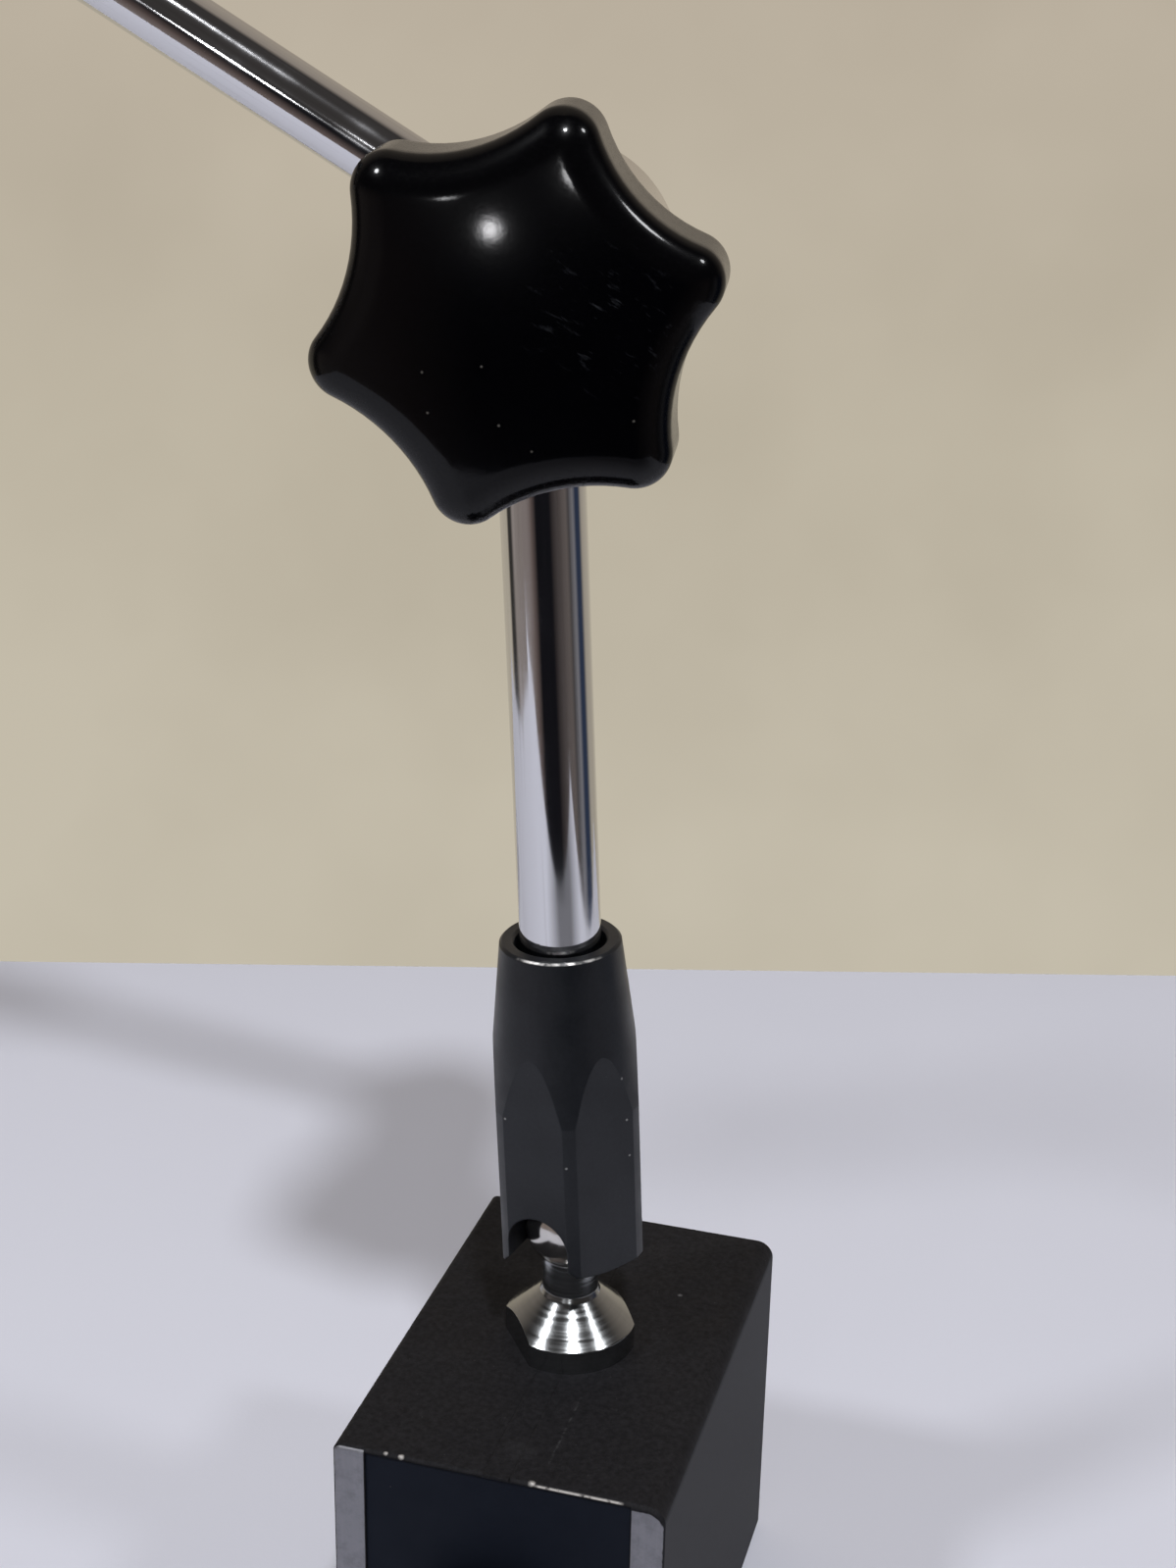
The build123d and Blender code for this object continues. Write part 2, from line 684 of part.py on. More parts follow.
# Lower ball joint and arm
upright_ball_frame = Plane(origin=lower_ball_centre, x_dir=(1, 0, 0), z_dir=(0, 0, 1))
lower_ball = build_ball(upright_ball_frame, lower_socket)
lower_sleeve = build_sleeve(lower_frame, lower_socket)
lower_thrust_cup = build_thrust_cup(lower_frame, lower_socket)
lower_tube = build_tube(lower_frame, lower_socket, lower_tube_radius, lower_arm_length)
lower_push_rod = build_push_rod(lower_frame, lower_socket, lower_arm_length)
lower_knuckle = build_knuckle(lower_knuckle_frame, lower_tube_radius)

# Upper ball joint and arm
upper_ball_frame = Plane(
    origin=upper_ball_centre, x_dir=holder_frame.x_dir, z_dir=holder_direction * -1)
upper_ball = build_ball(upper_ball_frame, upper_socket)
upper_sleeve = build_sleeve(upper_frame, upper_socket)
upper_thrust_cup = build_thrust_cup(upper_frame, upper_socket)
upper_tube = build_tube(upper_frame, upper_socket, upper_tube_radius, upper_arm_length)
upper_push_rod = build_push_rod(upper_frame, upper_socket, upper_arm_length)
upper_knuckle = build_knuckle(upper_knuckle_frame, upper_tube_radius)

# Elbow: two wedges on one draw bolt, a release spring between them and a washer between the knuckles
front_wedge = build_wedge(lower_knuckle_frame)
rear_wedge = build_wedge(upper_knuckle_frame)

with BuildPart() as elbow_washer:
    turned(lower_knuckle_frame, [
        (elbow_washer_bore_radius, -knuckle_inner_depth - elbow_washer_thickness),
        (elbow_washer_radius, -knuckle_inner_depth - elbow_washer_thickness),
        (elbow_washer_radius, -knuckle_inner_depth),
        (elbow_washer_bore_radius, -knuckle_inner_depth)])

spring_length = rod_plane_distance - 2 * wedge_nose_length - 2 * running_gap
spring_rise = spring_length - 2 * spring_wire_radius
spring_start = -wedge_nose_length - running_gap - spring_length + spring_wire_radius
with BuildPart() as release_spring:
    coil(lower_knuckle_frame, spring_start, spring_rise, spring_turns, spring_mean_radius,
         spring_wire_radius)

# Draw bolt: a domed head on the back wedge, with a hexagon socket, and a shank up into the knob
bolt_frame = upper_knuckle_frame.offset(wedge_end)
washer_back = wedge_end
washer_front = washer_back + knob_washer_thickness
knob_seat = washer_front + running_gap
shank_length = wedge_end + rod_plane_distance + knob_seat + insert_length - seat_gap
with BuildPart() as draw_bolt:
    bevelled_rod(bolt_frame, bolt_radius, -shank_length, 0, fine_edge)
    rod(bolt_frame, bolt_head_radius, 0, bolt_head_height)
    head_edge = draw_bolt.edges().filter_by(GeomType.CIRCLE).sort_by(
        Axis(bolt_frame.origin, bolt_frame.z_dir))[-1]
    fillet(head_edge, bolt_head_round)
    with BuildSketch(bolt_frame.offset(bolt_head_height)) as bolt_socket:
        RegularPolygon(bolt_socket_radius, 6)
    extrude(bolt_socket.sketch, amount=-bolt_socket_depth, mode=Mode.SUBTRACT)

# Star knob: six lobes from tangent arcs, a domed face, a hollow back and a hub with an insert
lobe_centre_radius = star_tip_radius - star_lobe_radius
half_step = 180 / star_lobes
valley_gain = (
    (lobe_centre_radius ** 2 + star_valley_radius ** 2 - star_lobe_radius ** 2
     - 2 * lobe_centre_radius * star_valley_radius * cos(radians(half_step)))
    / (2 * (lobe_centre_radius * cos(radians(half_step)) - star_valley_radius + star_lobe_radius)))
valley_centre_radius = star_valley_radius + valley_gain
lobe_reach = degrees(atan2(
    valley_centre_radius * sin(radians(half_step)),
    valley_centre_radius * cos(radians(half_step)) - lobe_centre_radius))


def star_outline():
    """Closed star of lobes and valleys, its first tip on +X."""
    for lobe in range(star_lobes):
        tip_angle = lobe * 2 * half_step
        lobe_centre = Vector(lobe_centre_radius, 0).rotate(Axis.Z, tip_angle)
        CenterArc(lobe_centre, star_lobe_radius, tip_angle - lobe_reach, 2 * lobe_reach)
        valley_angle = tip_angle + half_step
        valley_centre = Vector(valley_centre_radius, 0).rotate(Axis.Z, valley_angle)
        half_valley = lobe_reach - half_step
        CenterArc(valley_centre, valley_gain, valley_angle + 180 + half_valley, -2 * half_valley)


knob_frame = Plane(
    origin=elbow_centre + hinge_direction * knob_seat,
    x_dir=(lower_direction * cos(radians(star_turn))
           + hinge_direction.cross(lower_direction) * sin(radians(star_turn))),
    z_dir=hinge_direction)
with BuildPart() as star_knob:
    with BuildSketch(knob_frame) as star:
        with BuildLine():
            star_outline()
        make_face()
    extrude(star.sketch, amount=star_thickness + star_dome_height, taper=star_draft)
    dome_radius = (star_tip_radius ** 2 + star_dome_height ** 2) / (2 * star_dome_height)
    with Locations(knob_frame.offset(star_thickness + star_dome_height - dome_radius)):
        Sphere(dome_radius, mode=Mode.INTERSECT)
    face_edges = star_knob.edges().filter_by(
        lambda edge: knob_frame.to_local_coords(edge.center()).Z > star_thickness - star_edge_round)
    fillet(face_edges, star_edge_round)
    with BuildSketch(knob_frame) as hollow:
        with BuildLine():
            star_outline()
        make_face()
        offset(amount=-star_hollow_wall)
        Circle(star_hub_radius, mode=Mode.SUBTRACT)
    extrude(hollow.sketch, amount=star_hollow_depth, mode=Mode.SUBTRACT)
    rod(knob_frame, insert_radius + thread_gap, -cut_overrun, insert_length, Mode.SUBTRACT)

with BuildPart() as knob_insert:
    rod(knob_frame, insert_radius, 0, insert_length)
    rod(knob_frame, bolt_radius + thread_gap, -cut_overrun, insert_length + cut_overrun,
        Mode.SUBTRACT)

with BuildPart() as knob_washer:
    washer_outer = star_hub_radius - fine_edge
    turned(lower_knuckle_frame, [
        (bolt_radius + running_gap, washer_back),
        (washer_outer, washer_back),
        (washer_outer, washer_front),
        (bolt_radius + running_gap, washer_front)])

# Upper ball stud: neck, flange with wrench flats and a threaded end into the holder
flange_end = holder_neck_length + holder_flange_thickness
with BuildPart() as upper_ball_stud:
    turned(holder_frame, [
        (0, 0),
        (upper_socket.spigot_radius, 0),
        (upper_socket.spigot_radius, neck_end(upper_socket)),
        (upper_socket.neck_radius, neck_end(upper_socket)),
        (upper_socket.neck_radius, holder_neck_length),
        (holder_flange_radius, holder_neck_length),
        (holder_flange_radius, flange_end),
        (holder_thread_radius, flange_end),
        (holder_thread_radius, flange_end + holder_thread_length),
        (0, flange_end + holder_thread_length)])
    for side in (-1, 1):
        near = side * holder_flats / 2
        far = side * (holder_flange_radius + cut_overrun)
        bar(holder_frame, (-holder_flange_radius, min(near, far), holder_neck_length - fine_edge),
            (holder_flange_radius, max(near, far), flange_end - fine_edge), Mode.SUBTRACT)

# Holder fork: a block on the stud, two ears for the hinge pin and a leg for the fine screw
block_start = flange_end
block_end = block_start + fork_block_length
pin_height = block_end + ear_length / 2
leg_end = block_end + fork_leg_length
screw_height = block_end + adjust_screw_height
pocket_height = block_end + adjust_spring_height
pin_frame = Plane(
    origin=holder_frame.from_local_coords(Vector(hinge_pin_offset, 0, pin_height)),
    x_dir=holder_frame.x_dir, z_dir=holder_frame.y_dir)
screw_frame = Plane(
    origin=holder_frame.from_local_coords(Vector(0, 0, screw_height)),
    x_dir=holder_frame.y_dir, z_dir=holder_frame.x_dir)
pocket_frame = Plane(
    origin=holder_frame.from_local_coords(Vector(0, 0, pocket_height)),
    x_dir=holder_frame.y_dir, z_dir=holder_frame.x_dir)
ear_inner = fork_half_depth - ear_thickness
spring_pocket_radius = adjust_spring_radius + adjust_spring_wire + seat_gap
with BuildPart() as holder_fork:
    bar(holder_frame, (-fork_half_width, -fork_half_depth, block_start),
        (fork_half_width, fork_half_depth, block_end))
    bar(holder_frame, (fork_leg_inner, -fork_half_depth, block_end),
        (fork_half_width, fork_half_depth, leg_end))
    for side in (-1, 1):
        near = side * ear_inner
        far = side * fork_half_depth
        bar(holder_frame, (-fork_half_width, min(near, far), block_end),
            (fork_leg_inner, max(near, far), block_end + ear_length))
    long_edges = holder_fork.edges().filter_by(Axis(holder_frame.origin, holder_frame.z_dir))
    outer_edges = long_edges.filter_by(
        lambda edge: abs(holder_frame.to_local_coords(edge.center()).X) > fork_half_width - fine_edge)
    chamfer(outer_edges, edge_break)
    rod(holder_frame, holder_thread_radius + thread_gap, block_start - cut_overrun,
        block_start + holder_thread_length + seat_gap, Mode.SUBTRACT)
    rod(pin_frame, hinge_pin_radius + thread_gap, -fork_half_depth - cut_overrun,
        fork_half_depth + cut_overrun, Mode.SUBTRACT)
    rod(screw_frame, adjust_screw_radius + running_gap, fork_leg_inner - cut_overrun,
        fork_half_width + cut_overrun, Mode.SUBTRACT)
    rod(pocket_frame, spring_pocket_radius, fork_leg_inner - cut_overrun,
        fork_leg_inner + adjust_spring_pocket, Mode.SUBTRACT)

# Adjust lever: turns on the hinge pin between the ears and carries the indicator clamp
lever_start = block_end + seat_gap
lever_end = leg_end + lever_end_length
clamp_height = lever_end - clamp_screw_knob_radius
lever_neck_half = ear_inner - running_gap
clamp_frame = Plane(
    origin=holder_frame.from_local_coords(Vector(0, 0, clamp_height)),
    x_dir=holder_frame.z_dir, z_dir=holder_frame.x_dir * -1)
with BuildPart() as adjust_lever:
    neck_end_height = block_end + ear_length + seat_gap
    bar(holder_frame, (-fork_half_width, -lever_neck_half, lever_start),
        (lever_face - seat_gap, lever_neck_half, neck_end_height))
    bar(holder_frame, (-fork_half_width, -fork_half_depth, neck_end_height),
        (lever_face, fork_half_depth, lever_end))
    root_edges = adjust_lever.edges().filter_by(
        Axis(holder_frame.origin, holder_frame.y_dir)).filter_by(
        lambda edge: holder_frame.to_local_coords(edge.center()).Z < lever_start + fine_edge)
    fillet(root_edges, ear_inner / 2)
    end_edges = adjust_lever.edges().filter_by(
        Axis(holder_frame.origin, holder_frame.x_dir)).filter_by(
        lambda edge: holder_frame.to_local_coords(edge.center()).Z > lever_end - fine_edge)
    fillet(end_edges, fork_half_depth - fine_edge)
    rod(pin_frame, hinge_pin_radius + running_gap, -fork_half_depth, fork_half_depth, Mode.SUBTRACT)
    rod(pocket_frame, spring_pocket_radius, lever_face - adjust_spring_pocket,
        lever_face + cut_overrun, Mode.SUBTRACT)
    rod(clamp_frame, clamp_screw_radius + running_gap, -fork_half_width - cut_overrun,
        fork_half_width + cut_overrun, Mode.SUBTRACT)

with BuildPart() as hinge_pin:
    bevelled_rod(pin_frame, hinge_pin_radius, -fork_half_depth, fork_half_depth, fine_edge)


def build_knurled(frame, radius, start, end):
    """Round head with straight knurls around it."""
    rod(frame, radius, start, end)
    with BuildSketch(frame.offset(start - cut_overrun)) as grooves:
        with PolarLocations(radius, knurl_count):
            Rectangle(knurl_depth, knurl_depth, rotation=45)
    extrude(grooves.sketch, amount=end - start + 2 * cut_overrun, mode=Mode.SUBTRACT)


# Fine adjustment screw: its tip bears on the lever
head_start = fork_half_width + adjust_knob_gap
with BuildPart() as adjust_screw:
    rod(screw_frame, adjust_screw_radius, lever_face + thread_gap, head_start)
    build_knurled(screw_frame, adjust_knob_radius, head_start, head_start + adjust_knob_length)

# Spring that keeps the lever against the fine adjustment screw
adjust_spring_start = lever_face - adjust_spring_pocket + seat_gap / 2 + adjust_spring_wire
adjust_spring_end = fork_leg_inner + adjust_spring_pocket - seat_gap / 2 - adjust_spring_wire
adjust_spring_rise = adjust_spring_end - adjust_spring_start
with BuildPart() as adjust_spring:
    coil(pocket_frame, adjust_spring_start, adjust_spring_rise, adjust_spring_turns,
         adjust_spring_radius, adjust_spring_wire)

# Indicator clamp: a round block with a cross bore for the indicator's stem
clamp_start = fork_half_width + seat_gap
clamp_end = clamp_start + clamp_body_length
bore_frame = Plane(
    origin=clamp_frame.from_local_coords(Vector(0, 0, clamp_start + clamp_bore_centre)),
    x_dir=clamp_frame.z_dir, z_dir=clamp_frame.x_dir)
with BuildPart() as indicator_clamp:
    bevelled_rod(clamp_frame, clamp_body_radius, clamp_start, clamp_end, edge_break)
    rod(clamp_frame, clamp_screw_radius + thread_gap, clamp_start - cut_overrun,
        clamp_start + clamp_bore_centre, Mode.SUBTRACT)
    rod(bore_frame, clamp_bore_radius + clamp_bore_gap, -clamp_body_radius - cut_overrun,
        clamp_body_radius + cut_overrun, Mode.SUBTRACT)

# Clamp screw: its tip presses on the stem and so draws the clamp against the lever
with BuildPart() as clamp_screw:
    rod(clamp_frame, clamp_screw_radius, -lever_face - seat_gap, clamp_start + clamp_bore_centre
        - clamp_bore_radius - seat_gap)
    build_knurled(clamp_frame, clamp_screw_knob_radius,
                  -lever_face - seat_gap - clamp_screw_knob_length, -lever_face - seat_gap)

pieces = {
    "left_pole_block": left_pole_block, "right_pole_block": right_pole_block,
    "upper_spacer": upper_spacer, "lower_spacer": lower_spacer, "front_panel": front_panel,
    "rear_panel": rear_panel, "rear_panel_screws": rear_panel_screws, "front_bush": front_bush,
    "rotor_magnet": rotor_magnet, "rotor_shoes": rotor_shoes, "switch_shaft": switch_shaft,
    "rear_journal": rear_journal, "switch_knob": switch_knob,
    "switch_knob_screw": switch_knob_screw, "lower_ball_stud": lower_ball_stud,
    "lower_ball": lower_ball, "lower_sleeve": lower_sleeve, "lower_thrust_cup": lower_thrust_cup,
    "lower_tube": lower_tube, "lower_push_rod": lower_push_rod, "lower_knuckle": lower_knuckle,
    "upper_ball": upper_ball, "upper_sleeve": upper_sleeve, "upper_thrust_cup": upper_thrust_cup,
    "upper_tube": upper_tube, "upper_push_rod": upper_push_rod, "upper_knuckle": upper_knuckle,
    "front_wedge": front_wedge, "rear_wedge": rear_wedge, "elbow_washer": elbow_washer,
    "release_spring": release_spring, "draw_bolt": draw_bolt, "star_knob": star_knob,
    "knob_insert": knob_insert, "knob_washer": knob_washer, "upper_ball_stud": upper_ball_stud,
    "holder_fork": holder_fork, "adjust_lever": adjust_lever, "hinge_pin": hinge_pin,
    "adjust_screw": adjust_screw, "adjust_spring": adjust_spring,
    "indicator_clamp": indicator_clamp, "clamp_screw": clamp_screw}
for name, piece in pieces.items():
    keep(piece, name)
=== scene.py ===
"""Looks of the magnetic indicator stand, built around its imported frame."""

import json
import logging
import math
from dataclasses import dataclass, field, replace
from enum import Enum
from functools import reduce
from typing import Iterable, Optional, Sequence, Union

import bmesh
import bpy
from mathutils import Matrix, Vector

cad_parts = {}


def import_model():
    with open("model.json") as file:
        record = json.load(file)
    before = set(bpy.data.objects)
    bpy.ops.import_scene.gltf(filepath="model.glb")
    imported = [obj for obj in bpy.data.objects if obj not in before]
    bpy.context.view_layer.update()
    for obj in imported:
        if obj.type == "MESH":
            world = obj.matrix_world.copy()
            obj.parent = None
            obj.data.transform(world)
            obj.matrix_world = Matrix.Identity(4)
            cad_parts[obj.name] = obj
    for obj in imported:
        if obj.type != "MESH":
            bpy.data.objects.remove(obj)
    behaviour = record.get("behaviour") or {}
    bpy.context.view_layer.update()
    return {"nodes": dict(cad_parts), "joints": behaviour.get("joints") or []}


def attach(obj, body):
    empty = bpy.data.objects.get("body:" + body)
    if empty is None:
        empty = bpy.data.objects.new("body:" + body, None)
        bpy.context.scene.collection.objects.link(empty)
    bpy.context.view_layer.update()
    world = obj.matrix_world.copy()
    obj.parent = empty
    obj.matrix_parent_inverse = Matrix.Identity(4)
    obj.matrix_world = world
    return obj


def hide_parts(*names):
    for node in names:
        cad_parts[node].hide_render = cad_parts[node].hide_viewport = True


LOG = logging.getLogger("stand")
MM = 0.001
# A metre, which is past every place on the stand.
BEYOND = 1.0
Point2 = tuple[float, float]
Point3 = tuple[float, float, float]
Colour = Point3
Socket = bpy.types.NodeSocket
Amount = Union[bpy.types.NodeSocket, float]
Tone = Union[bpy.types.NodeSocket, Colour]


def even(value: float) -> Colour:
    """A value on all three channels."""
    return value, value, value


def shaded(colour: Colour, share: float) -> Colour:
    """A colour darkened to a share of itself."""
    return tuple(channel * share for channel in colour)


@dataclass(frozen=True)
class Placement:
    """A place and the directions of a piece: its origin in millimetres, X and Z."""

    origin: Vector
    across: Vector
    axis: Vector

    @property
    def side(self) -> Vector:
        """Direction of the placement's Y."""
        return self.axis.cross(self.across)

    def at(self, x: float, y: float, z: float) -> Vector:
        """Point of the row frame, in metres, for local millimetres."""
        return (self.origin + self.across * x + self.side * y + self.axis * z) * MM

    def turned(self, degrees: float) -> "Placement":
        """The same placement, turned about its own axis.

        Args:
            degrees: How far it turns.

        Returns:
            The turned placement.
        """
        turn = math.radians(degrees)
        across = self.across * math.cos(turn) + self.side * math.sin(turn)
        return Placement(self.origin, across, self.axis)

    def moved(self, distance: float) -> "Placement":
        """The same placement, moved along its own axis."""
        return Placement(self.origin + self.axis * distance, self.across, self.axis)


@dataclass
class Layout:
    """Where the arms and the elbow are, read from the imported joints."""

    joints: dict[str, dict]

    @classmethod
    def from_frame(cls, joints: Iterable[dict]) -> "Layout":
        """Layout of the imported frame's joints."""
        return cls({joint["name"]: joint for joint in joints})

    def axis(self, name: str) -> Vector:
        """Direction of a joint's axis."""
        return Vector(self.joints[name]["axis"]).normalized()

    def point(self, name: str) -> Vector:
        """Place of a joint in millimetres."""
        return Vector(self.joints[name]["pos_m"]) / MM

    @property
    def lower(self) -> Placement:
        """Lower arm, from its ball's centre, with X towards the sleeve's slot."""
        axis = self.axis("lower_push_slide")
        return Placement(self.point("lower_fold"), self.axis("lower_fold").cross(axis), axis)

    @property
    def upper(self) -> Placement:
        """Upper arm, from its ball's centre towards the elbow, with X towards its slot."""
        axis = self.axis("upper_push_slide")
        return Placement(self.point("upper_fold"), self.axis("upper_fold").cross(axis * -1), axis)

    @property
    def knuckle(self) -> Placement:
        """Front half of the elbow, with X along the lower arm and its axis towards the knob."""
        return Placement(
            self.point("knob_turn"), self.axis("lower_push_slide"), self.axis("knob_turn"))


class Noise(Enum):
    """Kinds of procedural pattern a finish may use."""

    CLOUD = "ShaderNodeTexNoise"
    CELLS = "ShaderNodeTexVoronoi"


class Maths(Enum):
    """Ways to put two values together."""

    TIMES = "MULTIPLY"
    PLUS = "ADD"
    LESS = "SUBTRACT"
    LARGER = "MAXIMUM"
    ABOVE = "GREATER_THAN"
    SIZE = "ABSOLUTE"


@dataclass(frozen=True)
class Cloud:
    """A soft cloudy pattern: patches per metre, layers of finer pattern and each layer's share."""

    scale: float
    detail: float = 4.0
    roughness: float = 0.55


@dataclass(frozen=True)
class Patches(Cloud):
    """A cloud turned into a mask that goes from low to high between two of its values."""

    start: float = 0.0
    end: float = 1.0
    low: float = 0.0
    high: float = 1.0

    def spanning(self, low: float, high: float) -> "Patches":
        """The same mask between other values."""
        return replace(self, low=low, high=high)


@dataclass(frozen=True)
class Spots:
    """Small scattered spots: cells per metre, radius as a share of a cell, strength and tint."""

    scale: float
    size: float
    strength: float
    tint: Colour
    core: float = 0.6


@dataclass(frozen=True)
class Relief:
    """Fine relief: its pattern, depth in metres, share that shows, and radius of rounded edges."""

    pattern: Cloud
    depth: float
    share: float
    edge: float = 0.0


class Tree:
    """A node tree with short ways to add to it."""

    ragged_border = Cloud(2500, 3)

    def __init__(self, tree: bpy.types.NodeTree, place: str) -> None:
        """Take over a tree.

        Args:
            tree: The node tree.
            place: The texture coordinates that its patterns follow.
        """
        self.tree = tree
        self.place = self.add("ShaderNodeTexCoord").outputs[place]

    def add(self, kind: str, inputs: Optional[dict[Union[str, int], object]] = None,
            **values: object) -> bpy.types.Node:
        """A new node with its properties set and its inputs filled.

        Args:
            kind: The node's type.
            inputs: A socket to link or a plain value for each input.
            values: The node's properties.

        Returns:
            The node.
        """
        node = self.tree.nodes.new(kind)
        for key, value in values.items():
            setattr(node, key, value)
        for key, value in (inputs or {}).items():
            if isinstance(value, bpy.types.NodeSocket):
                self.tree.links.new(value, node.inputs[key])
            else:
                node.inputs[key].default_value = value
        return node

    def stretched(self, scale: Point3, turn: Sequence[float] = (0, 0, 0)) -> Socket:
        """Coordinates turned and stretched along each axis.

        Args:
            scale: Scale along X, Y and Z.
            turn: Rotation about X, Y and Z in radians.

        Returns:
            The socket that gives the coordinates.
        """
        sizes = [1 / value for value in scale]
        inputs = {"Vector": self.place, "Rotation": turn, "Scale": sizes}
        return self.add("ShaderNodeMapping", inputs, vector_type="TEXTURE").outputs["Vector"]

    def cloud(self, pattern: Cloud, vector: Optional[Socket] = None) -> Socket:
        """A soft cloud pattern from 0 to 1.

        Args:
            pattern: How fine the pattern is.
            vector: Coordinates, the tree's own when left out.

        Returns:
            The pattern's value socket.
        """
        inputs = {"Vector": vector or self.place, "Scale": pattern.scale,
                  "Detail": pattern.detail, "Roughness": pattern.roughness}
        return self.add(Noise.CLOUD.value, inputs).outputs["Fac"]

    def patches(self, pattern: Patches, vector: Optional[Socket] = None) -> Socket:
        """A cloud's mask, from the pattern's low to its high."""
        stops = ((pattern.start, pattern.low), (pattern.end, pattern.high))
        return self.ramp(self.cloud(pattern, vector), stops)

    def spotted(self, colour: Socket, spots: Spots) -> Socket:
        """A colour with scattered spots on it.

        Args:
            colour: The colour socket.
            spots: The spots.

        Returns:
            The colour socket.
        """
        cells = self.add(Noise.CELLS.value, {"Vector": self.place, "Scale": spots.scale})
        stops = ((spots.size * spots.core, spots.strength), (spots.size, 0.0))
        return self.mix(self.ramp(cells.outputs["Distance"], stops), colour, spots.tint)

    def ramp(self, value: Socket, stops: Sequence[tuple[float, Union[float, Colour]]]) -> Socket:
        """Grey values or colours along an input.

        Args:
            value: The input socket.
            stops: Pairs of position and grey value or colour.

        Returns:
            The colour socket.
        """
        node = self.add("ShaderNodeValToRGB", {"Fac": value})
        elements = node.color_ramp.elements
        while len(elements) < len(stops):
            elements.new(0.5)
        for element, (position, tone) in zip(elements, stops):
            element.position = position
            element.color = (*(tone if isinstance(tone, tuple) else even(tone)), 1)
        return node.outputs["Color"]

    def mix(self, factor: Socket, low: Tone, high: Tone) -> Socket:
        """Colour between two colours or sockets.

        Args:
            factor: Socket from 0 to 1.
            low: Colour or socket at 0.
            high: Colour or socket at 1.

        Returns:
            The colour socket.
        """
        low, high = ((*tone, 1) if isinstance(tone, tuple) else tone for tone in (low, high))
        inputs = {"Factor": factor, 6: low, 7: high}
        return self.add("ShaderNodeMix", inputs, data_type="RGBA").outputs[2]

    def blend(self, operation: Maths, first: Socket, second: Amount = 0.0) -> Socket:
        """Result of a sum on a socket and a socket or number, kept from 0 to 1."""
        values = {"operation": operation.value, "use_clamp": True}
        return self.add("ShaderNodeMath", {0: first, 1: second}, **values).outputs[0]

    def times(self, first: Socket, *others: Amount) -> Socket:
        """Product of a mask and other masks or numbers."""
        return reduce(lambda made, other: self.blend(Maths.TIMES, made, other), others, first)

    def largest(self, masks: Iterable[Socket]) -> Socket:
        """The largest of several masks."""
        return reduce(lambda made, other: self.blend(Maths.LARGER, made, other), masks)

    def share(self, value: Socket, low: float, high: float) -> Socket:
        """How far a value has come from low to high, kept from 0 to 1."""
        inputs = {"Value": value, "From Min": low, "From Max": high}
        return self.add("ShaderNodeMapRange", inputs).outputs["Result"]

    def along(self, direction: Vector) -> Socket:
        """Distance in metres along a direction of the row frame."""
        inputs = {0: self.place, 1: direction}
        return self.add("ShaderNodeVectorMath", inputs, operation="DOT_PRODUCT").outputs["Value"]

    def distance(self, point: Vector) -> Socket:
        """Distance in metres from a point of the row frame."""
        inputs = {0: self.place, 1: point}
        return self.add("ShaderNodeVectorMath", inputs, operation="DISTANCE").outputs["Value"]

    def between(self, value: Socket, low: float, high: float, soft: float = 0.0001) -> Socket:
        """Mask that is 1 where a value in metres lies between two limits with a soft border."""
        return self.times(self.share(value, low, low + soft), self.share(value, high, high - soft))

    def near(self, point: Vector, radius: float, ragged: float = 0.4, core: float = 0.55) -> Socket:
        """Mask of a ragged spot round a point.

        Args:
            point: The spot's centre in metres.
            radius: Its radius in metres.
            ragged: Share of the radius that its border wanders.
            core: Share of the radius inside which the mask is 1.

        Returns:
            The mask socket.
        """
        wander = self.times(self.cloud(self.ragged_border), radius * ragged * 2)
        reach = self.blend(Maths.PLUS, self.distance(point), wander)
        return self.share(reach, radius * (1 + ragged), radius * core)


class Nodes(Tree):
    """A material's node tree with short ways to fill its shader."""

    rounding_samples = 6
    edge_stops = ((0.9, 1.0), (0.985, 0.0))

    def __init__(self, name: str) -> None:
        """Start a material.

        Args:
            name: The material's name.
        """
        self.material = bpy.data.materials.new(name)
        self.material.use_nodes = True
        super().__init__(self.material.node_tree, "Object")
        self.shader = self.tree.nodes["Principled BSDF"]

    def fixed(self, values: dict[str, float]) -> None:
        """Set the shader's sockets that are the same all over the surface."""
        for socket, value in values.items():
            self.shader.inputs[socket].default_value = value

    def fill(self, sockets: dict[str, Socket]) -> None:
        """Link the shader's sockets that change over the surface."""
        for socket, value in sockets.items():
            self.tree.links.new(value, self.shader.inputs[socket])

    def rounded(self, radius: float) -> Socket:
        """Normal with its sharp edges rounded to a radius in metres."""
        values = {"samples": self.rounding_samples}
        return self.add("ShaderNodeBevel", {"Radius": radius}, **values).outputs["Normal"]

    def edges(self, radius: float) -> Socket:
        """Mask that is 1 along sharp edges.

        Args:
            radius: About how wide the mask is, in metres.

        Returns:
            The mask socket.
        """
        flat = self.add("ShaderNodeNewGeometry").outputs["Normal"]
        inputs = {0: self.rounded(radius), 1: flat}
        dot = self.add("ShaderNodeVectorMath", inputs, operation="DOT_PRODUCT").outputs["Value"]
        return self.ramp(dot, self.edge_stops)

    def bump(self, relief: Relief, height: Optional[Socket] = None) -> Socket:
        """Put fine relief on the surface, with its edges slightly rounded.

        Args:
            relief: The relief.
            height: Height socket from 0 to 1, the relief's own pattern when left out.

        Returns:
            The normal that the shader gets.
        """
        inputs = {"Height": height or self.cloud(relief.pattern), "Distance": relief.depth,
                  "Strength": relief.share}
        if relief.edge:
            inputs["Normal"] = self.rounded(relief.edge)
        normal = self.add("ShaderNodeBump", inputs).outputs["Normal"]
        self.fill({"Normal": normal})
        return normal


